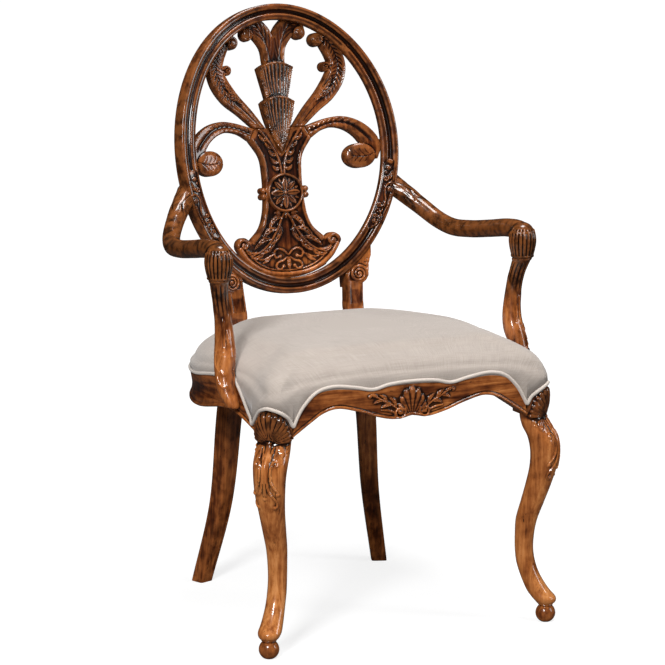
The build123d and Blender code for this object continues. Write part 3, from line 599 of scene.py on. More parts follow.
def oval_piece(name, start, end, carve=None):
    """One length of the oval between two angles from the top."""
    a = np.linspace(start, end, int(abs(end - start) * OVAL_MEAN / OVAL_STEP))
    width = (END_WIDTH + (SIDE_WIDTH - END_WIDTH) * np.sin(a) ** 2)[:, None]
    v = np.linspace(0, 1, FACE_COUNT)
    turn = np.linspace(0, math.pi / 2, 6)
    wall = np.concatenate([[10.0, 4.0], OVAL_BACK + BACK_ROUND * (1 - np.sin(turn))])
    inset = np.concatenate([[0.0, 0.0], BACK_ROUND * (1 - np.cos(turn))])
    across = np.hstack([v * width, width - inset, inset[::-1] + 0 * width])
    u = (OVAL_U - width + across) * np.sin(a)[:, None]
    w = OVAL_MID + (OVAL_W - width + across) * np.cos(a)[:, None]
    face = np.tile(oval_moulding(v), (len(a), 1))
    if carve:
        q = np.stack([u[:, :FACE_COUNT].ravel(), w[:, :FACE_COUNT].ravel()], 1)
        face = carve(folded(q), face.ravel(), np.tile(v, len(a))).reshape(face.shape)
    h = np.hstack([OVAL_FRONT + face, np.tile(wall, (len(a), 1)), np.tile(wall[::-1], (len(a), 1))])
    lean = (BEND - h) / (BEND - OVAL_FRONT)
    points = on_back(np.stack([(u * lean).ravel(), w.ravel()], 1), h.ravel()).reshape(h.shape + (3,))
    flow = np.stack([(a[:, None] * OVAL_MEAN + 0 * h).ravel(), across.ravel(), h.ravel()], 1)
    carved(name, *skin(points), np.vstack([flow, flow[:1], flow[-1:]]), 0.25, 50)


def flank_carving(q, h, v):
    """Carved panel that covers the groove beside the arm and ends in a rounded tongue below it."""
    x = np.clip((v - 0.43) / 0.31, -1, 1)
    arch = 1 - np.sqrt(1 - x * x)
    inside = ramp(q[:, 1], -164 + 11 * arch, -161 + 11 * arch)
    inside *= 1 - ramp(q[:, 1], -39 - 5 * arch, -36 - 5 * arch)
    panel = inside * ramp(v, 0.11, 0.14) * (1 - ramp(v, 0.72, 0.77))
    face = Relief(q, h * (1 - panel) + (-2.6 + 1.4 * np.sqrt(1 - x * x)) * panel)
    face.knob((194, -53), 4.6, 2.8)
    face.knob((189, -61), 2.6, 2.2)
    face.spiral((188, -72), 5.2, 1.3, 0.4, -1, 1.8, 2.6)
    face.leaf([(195, -74), (199, -66), (204, -57)], 3.2, 2.4, 2)
    stem = [(203, -82.5), (195, -81), (188, -86), (185, -94), (184.5, -112), (182, -123)]
    face.stroke(stem, [1.5, 2.0, 1.6], 2.6)
    face.stroke([(196, -102), (193, -112), (187, -124), (180, -136)], [1.0, 1.4, 1.0], 1.8)
    face.knob((194, -93), 5.0, 2.8)
    for x, y in ((171.5, -121), (168, -131), (163.5, -140.5), (160.5, -150)):
        face.spiral((x, y), 4.0, 1.2, 0.5, 1, 1.5, 2.4)
        face.stroke([(x + 3.5, y - 2), (x + 8, y - 1), (x + 11, y + 6)], [1.5, 1.3, 0.7], 2.2)
    face.leaf([(176, -138), (170, -149), (160, -159)], 3.4, 2.2, 3)
    return face.h


crest_end, shoulder_end, flank_end = (math.radians(a) for a in (43, 97, 150))
oval_piece("oval_crest", -crest_end, crest_end)
oval_piece("oval_shoulder_right", crest_end, shoulder_end)
oval_piece("oval_shoulder_left", -crest_end, -shoulder_end)
oval_piece("oval_flank_right", shoulder_end, flank_end, flank_carving)
oval_piece("oval_flank_left", -shoulder_end, -flank_end, flank_carving)
oval_piece("oval_base", flank_end, 2 * math.pi - flank_end)

# Splat panel: a bell and a column with a rim, and beads beside the medallion
SPLAT_BACK = 18.0
MEDALLION_W, BEAD_APART = -86, 5.5
CLASP = (90, -179)
bell_edge = [(75, -171), (53, -149), (43, -124), (38.5, -90), (38, -50), (42, -19), (62, 12)]
bell_rim = [(68, -175), (49, -151), (39.5, -124), (35, -90), (34.5, -50), (38, -19), (57, 14)]
cup_foot = [(21, 34), (13, 12), (0, -13)]
panel_right = [(u, below(u, OVAL_U - SIDE_WIDTH, OVAL_W - END_WIDTH)) for u in np.linspace(1, 74, 40)]
panel_right += smooth_points([(74, -222), (91, -206), (105, -183)])[1:]
panel_right += smooth_points(bell_edge) + [(50, 34)] + smooth_points(cup_foot)
panel_loops = [np.array(panel_right + mirrored(panel_right[::-1])[1:])]
for sign in (1, -1):
    panel_loops.append(circle((sign * CLASP[0], CLASP[1]), 15))
    for bead in (-BEAD_APART, BEAD_APART):
        panel_loops.append(circle((sign * 42, MEDALLION_W + bead), 6, count=30))


def panel_carving(q, d):
    bell = 1 - ramp(q[:, 1], -128, -112)
    face = Relief(folded(q), -2.5 - 1.5 * bell + rounded(d, 2.5))
    face.stroke(bell_rim, [3.6, 3.4, 3.2], 3.2)
    face.cut([(x - 5.5, y) for x, y in bell_rim], 1.0, 1.2)
    face.spiral(CLASP, 12.5, 1.1, 0, 1, 4.2, 5.0)
    for at, radius, high in (
        (CLASP, 6, 5.4), ((17, -203), 3.0, 3.6), ((11, -221), 3.2, 3.6),
        ((43, MEDALLION_W - BEAD_APART), 6, 6.0), ((43, MEDALLION_W + BEAD_APART), 6, 6.0),
    ):
        face.knob(at, radius, high)
    for points, wide, high in (
        ([(0, -236), (35, -232.5), (64, -221), (84, -205), (97, -186)], [4.2, 4.4, 5.0], 5.0),
        ([(0, -229), (33, -226), (60, -214), (78, -198)], 1.3, 2.0),
        ([(2, -122), (9, -133), (17, -150), (29, -168), (46, -186), (64, -195), (79, -193)],
         [2.0, 2.6, 2.2, 1.4], 4.6),
        ([(1, -200), (9, -192), (21, -189), (29, -196), (25, -205), (17, -202)], [1.4, 2.2, 1.6], 3.2),
        ([(3, -205), (12, -211), (22, -214), (26, -222), (18, -227), (11, -221)], [1.4, 2.2, 1.6], 3.2),
        ([(29, -198), (40, -203), (52, -207), (60, -206)], [1.6, 1.8, 1.0], 2.6),
        ([(2.5, -50), (5, -30), (11, -13), (19, 1), (28, 14), (42, 32)], [2.2, 2.4, 2.6], 3.4),
    ):
        face.stroke(points, wide, high)
    for points, wide, high, ribs in (
        ([(9, -130), (21, -133), (31, -143), (36, -155)], 5.0, 4.0, 5),
        ([(19, -152), (33, -153), (45, -163), (52, -174)], 5.5, 4.4, 5),
        ([(32, -170), (47, -171), (60, -179), (68, -187)], 5.0, 4.0, 5),
        ([(14, -144), (14, -158), (22, -172), (30, -179)], 4.6, 3.6, 4),
        ([(27, -166), (31, -180), (44, -192), (54, -195)], 5.2, 4.0, 4),
        ([(46, -187), (56, -199), (68, -203), (80, -200)], 4.4, 3.6, 4),
        ([(60, -193), (74, -196), (84, -190), (87, -182)], 4.2, 4.0, 4),
        ([(12, -126), (19, -122), (24, -124)], 2.4, 3.6, 0),
        ([(12, -127), (20, -128), (26, -132)], 2.4, 3.6, 0),
        ([(11, -128), (15, -119), (18, -114)], 2.4, 3.6, 0),
        ([(36, -202), (44, -209), (54, -214)], 3.0, 2.6, 3),
        ([(5, -40), (13, -42), (20, -35)], 3.6, 3.2, 2),
        ([(6, -29), (16, -29), (23, -20)], 3.6, 3.2, 2),
        ([(10, -16), (20, -14), (26, -5)], 3.6, 3.2, 2),
        ([(17, -3), (26, 0), (33, 9)], 3.6, 3.2, 2),
        ([(26, 12), (36, 14), (44, 24)], 3.6, 3.2, 2),
        ([(0, -204), (0, -216), (0, -228)], 4.2, 3.6, 3),
        ([(0, -112), (0, -122), (0, -134)], 4.5, 3.6, 3),
    ):
        face.leaf(points, wide, high, ribs)
    return face.h


verts, faces, flow = slab(panel_loops, 1.3, panel_carving, on_back, SPLAT_BACK)
carved("splat_panel", verts, faces, flow, 0.32 + 0.34 * (1 - ramp(flow[:, 0], -215, -170)))

# Medallion: a rosette of eight petals inside a bead
MEDALLION = np.array((0, MEDALLION_W))


def medallion_carving(q, d):
    r = np.hypot(*(q - MEDALLION).T)
    face = Relief(q, 1.6 + rounded(d, 1.5))
    face.lift(np.arange(len(r)), half_round(r, 33.4, 2.6, 4.8))
    for k in range(8):
        wide, high = ((7.4, 4.6), (6.0, 3.6))[k % 2]
        for a, reach, size in (
            (k * math.pi / 4, (3.0, 15.0, 29.5), (wide, high)),
            ((k + 0.5) * math.pi / 4, (17.0, 23.0, 29.5), (2.2, 2.6)),
        ):
            way = np.array((math.cos(a), math.sin(a)))
            face.leaf([MEDALLION + way * s for s in reach], *size)
    face.knob(MEDALLION, 4.6, 5.6)
    return face.h


verts, faces, flow = slab([circle(MEDALLION, 36, count=120)], 1.0, medallion_carving, on_back, 2.0, 0.5)
carved("splat_medallion", verts, faces, flow, 0.20)

# Sheaf: two reeded cups, and two plumes that rise from them
LOWER_CORNER, LOWER_TOP = (33, 80), 93
UPPER_CORNER, UPPER_TOP = (35.5, 144), 156
UPPER_FOOT = (21, 84)
CURL = (52.5, 207)
REEDS = 14
lower_edge = [(0, -13), (13, 12), (21, 34), (28, 57), LOWER_CORNER]
plume_vein = [(9, 150), (13, 180), (22, 206), (34, 222), (47, 225), (57, 216), (56, 207)]


def crown(corner, top):
    """Radius and half angle of the shallow arc over a cup."""
    sag = top - corner[1]
    radius = (corner[0] ** 2 + sag**2) / (2 * sag)
    return radius, math.asin(corner[0] / radius)


def crown_points(corner, top, count=24):
    """Points of that arc between a cup's right corner and its left one."""
    radius, half = crown(corner, top)
    a = np.linspace(half, -half, count)[1:-1]
    return np.stack([radius * np.sin(a), top - radius + radius * np.cos(a)], 1).tolist()


lower_right = smooth_points(lower_edge)
lower_cup = np.array(lower_right + crown_points(LOWER_CORNER, LOWER_TOP) + mirrored(lower_right[::-1])[:-1])
upper_right = [UPPER_FOOT, UPPER_CORNER]
upper_cup = upper_right + crown_points(UPPER_CORNER, UPPER_TOP) + mirrored(upper_right[::-1])
upper_cup = even(np.array(upper_cup + upper_cup[:1]), 2.0)[:-1]
plume_top = [(50, 199), (62, 205), (64, 217), (57, 230), (44, 237), (27, 237), (10, 223), (0, 207)]
plume = [(20, 150)] + smooth_points([(21, 152), (25, 180), (41, 203)]) + smooth_points(plume_top)
plume = np.array([p for p in plume if p[0] > 0] + [(-0.5, 206), (-0.5, 150)])
sheaf_loops = [lower_cup, upper_cup, plume, plume * (-1, 1)]
sheaf_loops += [circle(middle, 12.5) for middle in (CURL, (-CURL[0], CURL[1]))]


def sheaf_carving(q, d):
    u, w = q.T
    face = Relief(folded(q), -1.0 + rounded(d, 7.0) * 0.8)
    t, away = near(face.q, curve(plume_vein))[:2]
    face.h += 0.16 * np.cos(t * 44 - away * 0.9) - 0.9 * hump(away, 0, 1.0)
    face.h += 0.9 * hump(d, 2.0, 1.2) * (w > 150)
    face.floor = face.h.copy()
    face.knob(CURL, 12.0, 4.5)
    turn = np.linspace(2.2, 6.6, 12)
    face.cut(np.stack([CURL[0] + 8 * np.cos(turn), CURL[1] + 8 * np.sin(turn)], 1), 1.0, 1.5)
    slope = (UPPER_CORNER[0] - UPPER_FOOT[0]) / (UPPER_CORNER[1] - UPPER_FOOT[1])
    upper_half = UPPER_FOOT[0] + (w - UPPER_FOOT[1]) * slope
    lower_half = np.interp(w, [y for x, y in lower_edge], [0.5] + [x for x, y in lower_edge[1:]])
    for cup, corner, top, half, rise in (
        (upper_cup, UPPER_CORNER, UPPER_TOP, upper_half, 0.6),
        (lower_cup, LOWER_CORNER, LOWER_TOP, lower_half, 2.4),
    ):
        inside = within(q, cup)
        x = u / half
        reeds = np.abs(np.cos(np.arcsin(np.clip(x, -0.995, 0.995)) * REEDS)) ** 0.6
        flare = 2.2 * ramp(w, top - 34, top - 4)
        radius, half_angle = crown(corner, top)
        over = top - radius + np.sqrt(np.clip(radius**2 - u * u, 0, None)) - w
        body = rise + 3.0 * dome(x) - 3.0 + 1.7 * reeds + flare + rounded(over, 2.0)
        face.h = np.where(inside, body, face.h)
        face.floor = np.where(inside, rise - 1.5 + flare, face.floor)
        for a in np.linspace(-0.88 * half_angle, 0.88 * half_angle, REEDS + 1):
            face.knob((radius * math.sin(a), top - radius + (radius - 3.0) * math.cos(a)), 2.4, 4.6)
    return face.h


verts, faces, flow = slab(sheaf_loops, 1.2, sheaf_carving, on_back, SPLAT_BACK)
carved("center_sheaf", verts, faces, flow, -0.06 + 0.30 * ramp(flow[:, 0], 150, 158))

# Inner scrolls with two curled ends
TOP_CURL, SIDE_CURL = (85, 193), (98.5, 142.5)
inner_outside = [(50, 34), (80, 60), (110, 83), (131, 112), (138, 140), (132, 171), (116, 196), (97, 207)]
inner_inside = [(93, 181), (103, 160), (106.5, 145), (99, 127), (81, 100), (53, 68), (27, 34)]
inner_middle = [(40, 36), (66, 64), (95, 91), (115, 120), (122, 142), (118, 166), (106, 188), (95, 196)]
inner_loop = np.array(smooth_points(inner_outside) + smooth_points(inner_inside) + [(38, 33)])
inner_loops = [inner_loop, circle(TOP_CURL, 13), circle(SIDE_CURL, 9.5, count=40)]


def inner_carving(q, d):
    t, away, side = near(q, curve(inner_middle))
    face = Relief(q, -0.5 + rounded(d, 6.0) * 0.75)
    face.h += hump(d, 2.2, 1.2) - 0.9 * hump(d, 5.0, 1.1)
    scales = np.cos(t * 150 + away * 0.7) * hump(away, 5, 4) * ramp(t, 0.3, 0.42)
    face.h += np.where(side < 0, 0.9, 0.35) * scales * (d > 3)
    face.h -= 0.8 * hump(away, 0, 0.9) * ramp(d + away, 6, 12)
    face.floor = face.h.copy()
    face.leaf([(74, 80), (88, 95), (101, 110), (108, 124)], 5.0, 3.0, 6)
    face.leaf([(86, 86), (100, 96), (112, 108)], 3.6, 2.4, 4)
    face.knob(TOP_CURL, 12.5, 5.0)
    face.spiral(TOP_CURL, 9.5, 1.3, 0.6, -1, 2.6, 6.5)
    face.spiral(SIDE_CURL, 7.0, 1.3, 0.4, 1, 2.4, 4.0)
    return face.h


verts, faces, flow = slab(inner_loops, 1.2, inner_carving, on_back, SPLAT_BACK)
both("inner_scroll", verts, faces, flow, 0.27)

# Outer scrolls with their turned leaf ends
LEAF_END, LEAF_WIDE, LEAF_TALL = (151, -26), 28, 23
outer_upper = [(50, 34), (95, 47), (121, 49.5), (147, 43), (170, 28), (187, 6), (191, -14), (184, -34)]
outer_lower = [(160, -8), (146, 11), (128, 24), (107, 29.5), (83, 25), (62, 12)]
outer_middle = [(56, 23), (90, 36), (115, 39.5), (138, 33.5), (158, 18), (173, -1), (176, -20)]
outer_loops = [np.array(smooth_points(outer_upper) + smooth_points(outer_lower))]
outer_loops.append(circle(LEAF_END, LEAF_WIDE, LEAF_TALL, 90))


def outer_carving(q, d):
    t, away, side = near(q, curve(outer_middle))
    face = Relief(q, -0.5 + rounded(d, 6.0) * 0.8 + 2.5 * ramp(t, 0.4, 0.9))
    face.h += 0.8 * hump(d, 2.2, 1.4) - 2.0 * hump(away, 0, 3.4) * (1 - ramp(t, 0.80, 0.92))
    leaves = np.cos(t * 95 - away * 0.8) * hump(away, 5, 3.5) * (1 - ramp(t, 0.45, 0.7))
    face.h += np.where(side > 0, 0.9, 0.2) * leaves * (d > 2)
    face.floor = face.h.copy()
    r = np.hypot((q[:, 0] - LEAF_END[0]) / LEAF_WIDE, (q[:, 1] - LEAF_END[1]) / LEAF_TALL)
    swell = 1.4 + 5.4 * np.sqrt(np.clip(1 - r**2.2, 0, None))
    face.h = np.where(r < 1, np.maximum(swell, face.h - 2.0), face.h)
    face.cut([(177, -22), (163, -27), (148, -28), (132, -25)], 0.8, 0.8)
    for k in range(4):
        root = np.array((168 - 10 * k, -26.5))
        face.cut([root, root + (-7, 7), root + (-10, 13)], 0.7, 0.45)
        face.cut([root, root + (-7, -6), root + (-11, -11)], 0.7, 0.45)
    return face.h


verts, faces, flow = slab(outer_loops, 1.2, outer_carving, on_back, SPLAT_BACK)
both("outer_scroll", verts, faces, flow, 0.29)


def shell(x, y, wide, tall, flutes, fan, high):
    """Scallop shell in flat coordinates from its hinge: radial flutes inside a scalloped rim."""
    a = np.arctan2(x, np.maximum(y, 0.01))
    reed = np.abs(np.cos(a * flutes * math.pi / (2 * fan)))
    r = np.hypot(x / wide, y / tall) / (0.90 + 0.10 * reed)
    inside = (y > 0) & (np.abs(a) < fan) & (r < 1)
    body = ramp(1 - r, 0, 0.10) * (0.55 + 0.45 * reed) * (0.55 + 0.45 * ramp(r, 0.1, 0.8))
    return np.where(inside, high * body, 0)


# Front legs: cabriole along the corner's diagonal, with a shell on the knee and a block for the rails
FOOT_X, DIAGONAL, KNEE = 265.5, 0.7071, 369
# Stations: height, way in along the diagonal, depth and width
leg_stations = [
    (32, 0.5, 26, 26), (38, 0.5, 37, 36), (45, 4, 43, 40), (54, 12, 42, 38), (65, 19.5, 39, 36),
    (85, 30, 35, 33.5), (106, 37.3, 33.5, 33), (130, 40.6, 32.5, 32.5), (160, 39.8, 34.5, 34),
    (183, 36.7, 38, 36), (216, 26.2, 41.5, 40), (249, 15.7, 45, 44.5), (282, 7.3, 48, 51.5),
    (310, 5.7, 50, 56), (334, 10.5, 51, 60), (352, 20.5, 50, 60), (KNEE, 28, 44, 59), (376, 27.5, 45, 61),
    (388, 26, 47, 62), (406, 25, 46, 57), (418, 24, 40, 50), (424, 23.5, 30, 39), (428, 23, 14, 20),
]


def leg_carving(a, z):
    face = Relief(folded(np.stack([a, z], 1)), shell(a, z - KNEE, 41, 55, 15, math.radians(88), 4.0))
    for scroll in (
        [(8, 364), (5, 345), (4.5, 325), (5, 302), (9, 289), (15, 280), (20, 271), (18.5, 264), (14, 262)],
        [(19, 337), (17.5, 342), (13, 341), (9.5, 333), (9, 321), (11, 308), (17, 297), (22.5, 290)],
    ):
        face.stroke(scroll, 1.6, 2.8)
    face.leaf([(12, 366), (22, 358), (28, 346)], 4.6, 2.2, 4)
    face.stroke([(11, 366), (13, 356), (12, 346)], [1.2, 1.4, 0.8], 2.0)
    face.stroke([(0, 368), (0, 350), (0, 330), (0, 302), (0, 282)], [4.6, 3.6, 2.2, 1.6, 1.4], 3.4)
    for at, radius, high in (
        ((14.5, 262.5), 3.4, 3.2), ((19, 336), 3.0, 3.0), ((22.5, 286.5), 3.6, 3.2),
        ((31, 363), 2.6, 2.0), ((33, 356), 2.2, 1.8), ((0, 279), 3.4, 3.2),
    ):
        face.knob(at, radius, high)
    return face.h


rows = curve(leg_stations, 1.8)
height, inward, deep, wide = rows[:, :1], rows[:, 1:2], rows[:, 2:3] / 2, rows[:, 3:4] / 2
angle, part_x, part_y = ring(110)
arc = angle * (deep + wide) / 2
relief = leg_carving(arc.ravel(), np.repeat(height, len(angle))).reshape(arc.shape)
out, across = deep * part_x + relief * np.cos(angle), wide * part_y + relief * np.sin(angle)
grid = np.stack([
    FOOT_X - inward * DIAGONAL + DIAGONAL * (out + across),
    inward * DIAGONAL + DIAGONAL * (across - out),
    np.repeat(height, len(angle), 1),
], -1)
block_points = [(x, y, z) for x in (220, 259) for y in (-2, 45.6) for z in (374, 430)]
block_faces = [(0, 1, 3, 2), (4, 6, 7, 5), (0, 4, 5, 1), (2, 3, 7, 6), (0, 2, 6, 4), (1, 5, 7, 3)]
verts, faces = joined(skin(grid), (block_points, block_faces))
warmth = 0.80 - 0.10 * ramp(verts[:, 2], 180, 290) - 0.50 * ramp(verts[:, 2], 364, 372)
both("front_leg", verts, faces, warm=warmth)

# Ball feet with a small fillet under the leg
BALL_RADIUS, BALL_MIDDLE = 17.5, 16
height = np.concatenate([[0, 0.6], np.linspace(1.5, 30, 24), [30.6, 31.4, 32.4, 33]])[:, None]
radius = np.sqrt(np.maximum(BALL_RADIUS**2 - (height - BALL_MIDDLE) ** 2, 0))
radius[0] = 6.0
radius[-4:, 0] = (12.2, 13.0, 12.6, 11.0)
angle, part_x, part_y = ring(64)
grid = np.stack([FOOT_X + radius * part_x, radius * part_y, np.repeat(height, len(angle), 1)], -1)
both("foot_ball", *skin(grid), warm=0.55)

# Rear legs: sabre below the seat, moulded post above it, and a volute under the oval
VOLUTE, VOLUTE_RADIUS = np.array((127.5, -245.0)), 18.5
# Stations: middle, width, depth, and turn in degrees
rear_stations = [
    (182, 502, 0, 29, 29, 21), (152, 480, 150, 33, 33, 21), (139, 472, 300, 37, 37, 21),
    (128, 474, 395, 37, 37, 10.5), (117.5, 481, 490, 33, 30, 0), (120.5, 491, 546, 33, 30, 0),
]
rows = curve(rear_stations, 2.4)
angle, part_x, part_y = ring(96, 7.0)
height = np.repeat(rows[:, 2:3], len(angle), 1)
local_x, local_y = rows[:, 3:4] / 2 * part_x, rows[:, 4:5] / 2 * part_y
share = np.abs(local_x / (rows[:, 3:4] / 2))
front = np.clip(-part_y * 1.4 - 0.2, 0, 1) * ramp(height, 500, 508) * (share < 0.97)
collar = 1 + 0.03 * ramp(height, 492, 495) * (1 - ramp(height, 505, 507))
local_x, local_y = local_x * collar, (local_y - front * half_round(share, 0.80, 0.14, 1.0)) * collar
turn = np.radians(-rows[:, 5:6])
grid = np.stack([
    rows[:, :1] + local_x * np.cos(turn) - local_y * np.sin(turn),
    rows[:, 1:2] + local_x * np.sin(turn) + local_y * np.cos(turn),
    height,
], -1)
quarter = np.linspace(0, math.pi / 2, 14)[:, None]
volute_loop = [(104, -268), (117, -266)]
volute_loop += (VOLUTE + VOLUTE_RADIUS * np.hstack([np.sin(quarter), -np.cos(quarter)])).tolist()
volute_loop += smooth_points([(146, -245), (148, -226), (154, -207)])[1:]
volute_loop += [(u, below(u, OVAL_U, OVAL_W) + 4.0) for u in np.linspace(154.5, 104, 30)]


def volute_carving(q, d):
    face = Relief(q, 12.0 + rounded(d, 2.0))
    face.spiral(VOLUTE, 16.0, 2.4, -0.2, 1, 3.4, 3.0)
    face.knob(VOLUTE, 3.4, 3.6)
    face.stroke([(145, -240), (146.5, -226), (152, -211)], [2.4, 2.0, 1.6], 2.6)
    face.stroke([(107, -266), (107, -249), (110, -240)], [2.2, 2.2, 1.6], 2.4)
    for k in range(3):
        face.cut([(136 + 4 * k, -230 + 6 * k), (144 + 3 * k, -232 + 7 * k)], 0.9, 1.4)
    return face.h


volute = slab([np.array(volute_loop)], 1.1, volute_carving, on_back, 21.0)[:2]
both("rear_leg", *joined(skin(grid), volute), warm=0.54)

# Front rail: serpentine top and bottom, bead along the lower edge, shell and sprays in the middle
LEDGE_HEIGHT = 432
FRONT_FACE, FRONT_LEDGE, FRONT_BACK, FRONT_HALF = -2, 10, 32, 222.5
front_edge = [(0, 395.5), (30, 391), (62, 397), (98, 409), (138, 418), (165, 412.5), (190, 397.5), (222, 376)]
front_top = [
    (0, 453), (45, 450.5), (73, 444.5), (106, 450.5), (148, 455.5), (177, 449), (203, 425.5), (222, 393),
]


def height_along(points, at):
    """Height of a smooth line at places along it."""
    line = curve(points, 1.0)
    return np.interp(at, line[:, 0], line[:, 1])


def front_height(points, x):
    """Height of a line of the front rail, given by its right-hand half."""
    return height_along(mirrored(points[:0:-1]) + points, x)


def rebated(face, z, low, top, ledge, back):
    """Adds the inside of a rail to its face: from the top down to a ledge, and down the back."""
    step = np.minimum(top, LEDGE_HEIGHT) - 0.01
    depth = np.stack([0 * low + at for at in (ledge, ledge, back, back)], 1)
    return np.hstack([face, depth]), np.hstack([z, np.stack([top, step, step, low], 1)])


def front_rail_carving(x, z, low, top):
    up = z - low
    edge = rounded(top - z, 1.0) + rounded(up, 1.5)
    face = Relief(folded(np.stack([x, z], 1)), edge + half_round(up, 2.6, 2.6, 2.0) - hump(up, 6.6, 1.2))
    face.lift(np.arange(len(x)), shell(x, z - 391, 31, 57, 9, math.radians(70), 5.0))
    face.spiral((24, 403), 11.0, 1.6, 2.6, 1, 3.0, 5.2)
    face.stroke([(4, 394), (13, 393), (24, 393), (32, 398)], [2.4, 2.6, 1.8], 4.0)
    face.stroke([(26, 408), (38, 417), (52, 424), (66, 432), (73, 436)], [1.4, 2.0, 1.4], 3.0)
    face.stroke([(29, 402), (44, 407), (58, 409)], [1.6, 1.8, 1.2], 2.6)
    for points, wide in (
        ([(30, 414), (34, 423), (42, 429)], 3.4),
        ([(40, 417), (49, 417), (57, 413)], 3.2),
        ([(47, 421), (52, 430), (60, 435)], 3.2),
        ([(56, 426), (65, 425), (73, 421)], 3.0),
        ([(64, 431), (72, 436), (80, 437)], 3.0),
    ):
        face.leaf(points, wide, 3.4, 3)
    face.knob((79, 434), 3.0, 3.0)
    return face.h


x = np.linspace(-FRONT_HALF, FRONT_HALF, 390)
low, top = front_height(front_edge, x), front_height(front_top, x)
share = np.linspace(0, 1, 48)
z = low[:, None] + share * (top - low)[:, None]
each_x, each_low, each_top = (np.repeat(values, len(share)) for values in (x, low, top))
h = front_rail_carving(each_x, z.ravel(), each_low, each_top).reshape(z.shape)
y, z = rebated(FRONT_FACE - h, z, low, top, FRONT_LEDGE, FRONT_BACK)
carved("front_rail", *skin(np.stack([np.repeat(x[:, None], z.shape[1], 1), y, z], -1)), (1, 0, 0), 0.60)

# Side rails: bowed in plan, with a bead along the lower edge
side_edge = [(42, 374), (145, 400), (290, 382), (488, 388)]
side_top = [(42, 395), (66, 395), (130, 452), (200, 451), (298, 437), (488, 430)]
CORNER_X, CORNER_Y = 258.0, -2.0
SIDE_LEDGE, SIDE_BACK = -12, -34
SIDE_WIDE, SIDE_WIDE_Y, BOW = 277.2, 225.0, 300.0
side_slope = math.atan2(SIDE_WIDE - CORNER_X, SIDE_WIDE_Y - CORNER_Y)
bow_middle = np.array((SIDE_WIDE - BOW * math.cos(side_slope), SIDE_WIDE_Y + BOW * math.sin(side_slope)))


def side_plan(step=2.0):
    """Plan line of the seat's right side from the front corner to the rear, with its outward direction."""
    straight = even(np.array([(CORNER_X, CORNER_Y), (SIDE_WIDE, SIDE_WIDE_Y)]), step)[:-1]
    turn = np.linspace(-side_slope, math.radians(57) - side_slope, int(BOW / step))
    way = np.stack([np.cos(turn), np.sin(turn)], 1)
    line = np.vstack([straight, bow_middle + BOW * way])
    return line, np.vstack([np.repeat(way[:1], len(straight), 0), way])


plan, outward = side_plan()
kept = (plan[:, 1] > 41) & (plan[:, 0] > 150)
plan, outward = plan[kept], outward[kept]
low, top = height_along(side_edge, plan[:, 1]), height_along(side_top, plan[:, 1])
share = np.linspace(0, 1, 30)
z = low[:, None] + share * (top - low)[:, None]
up = z - low[:, None]
h = half_round(up, 3, 3, 2.2) - hump(up, 7.4, 1.2) + rounded(up, 1.5)
h = h + ramp(plan[:, 1:], 170, 240) * (1.6 * np.cos(2 * math.pi * share) - 0.4)
h, z = rebated(h, z, low, top, SIDE_LEDGE, SIDE_BACK)
grid = np.concatenate([plan[:, None, :] + outward[:, None, :] * h[..., None], z[..., None]], -1)
both("side_rail", *skin(grid), (0, 1, 0), 0.50)

# Arm supports: fluted leaf under the joint, vine below it
SUPPORT_ROUND = 16.0
# Stations: middle, half width and half depth
support_stations = [
    (291, 147, 626, 16, 17), (285, 157, 595, 14, 14.5), (279.5, 159, 560, 14.5, 15), (277, 157, 520, 17, 18),
    (279, 151, 495, 18.5, 21), (283.5, 144, 470, 17, 18), (284, 133, 440, 16.5, 17),
    (281, 124, 424, 14.5, 15.5), (279, 117, 412, 10.5, 12), (278.5, 115, 408, 4, 5),
]


def support_carving(a, z):
    reed = np.abs(np.cos(a / SUPPORT_ROUND * 6))
    tip = 550 + 1.1 * np.abs(a - 6.6)
    floor = (reed - 0.4) * ramp(z, tip, tip + 40) * (1 - ramp(z, 619, 621)) + half_round(z, 623.5, 2.5, 1.8)
    floor += 0.5 * ramp(z, tip - 22, tip - 4) * (1 - ramp(z, tip - 4, tip + 8))
    face = Relief(np.stack([a, z], 1), floor)
    for points, wide, high in (
        ([(6.6, 556), (6.6, 532), (7.5, 514), (10, 497), (14, 480)], [2.6, 1.8, 1.4, 0.8], 1.8),
        ([(2, 540), (1, 524), (-2, 510)], [1.0, 2.4, 0.8], 1.0),
        ([(19, 506), (25, 490), (22, 478), (15, 470)], [0.7, 1.2, 0.7], 1.3),
        ([(14, 474), (9, 467), (3, 462)], [0.7, 1.4, 0.7], 1.3),
        ([(19, 463), (18, 455), (13, 446), (6.6, 445), (2.5, 452)], [0.8, 1.5, 1.0], 1.6),
        ([(-10, 490), (-15, 478), (-14, 462), (-8, 450)], [0.7, 1.3, 0.7], 1.3),
    ):
        face.stroke(points, wide, high)
    face.spiral((23, 498), 4.5, 1.2, 1.0, 1, 1.2, 1.5)
    face.spiral((-14, 470), 4.5, 1.2, 1.6, -1, 1.2, 1.4)
    face.knob((8, 466), 3.0, 1.6)
    return face.h


rows = curve(support_stations, 1.6)
angle, part_x, part_y = ring(96)
height = np.repeat(rows[:, 2:3], len(angle), 1)
relief = support_carving(np.tile(angle * SUPPORT_ROUND, len(rows)), height.ravel()).reshape(height.shape)
grid = np.stack([
    rows[:, :1] + rows[:, 3:4] * part_y + relief * np.sin(angle),
    rows[:, 1:2] - rows[:, 4:5] * part_x - relief * np.cos(angle),
    height,
], -1)
verts, faces = skin(grid)
both("arm_support", verts, faces, warm=0.66 - 0.48 * ramp(verts[:, 2], 535, 600))

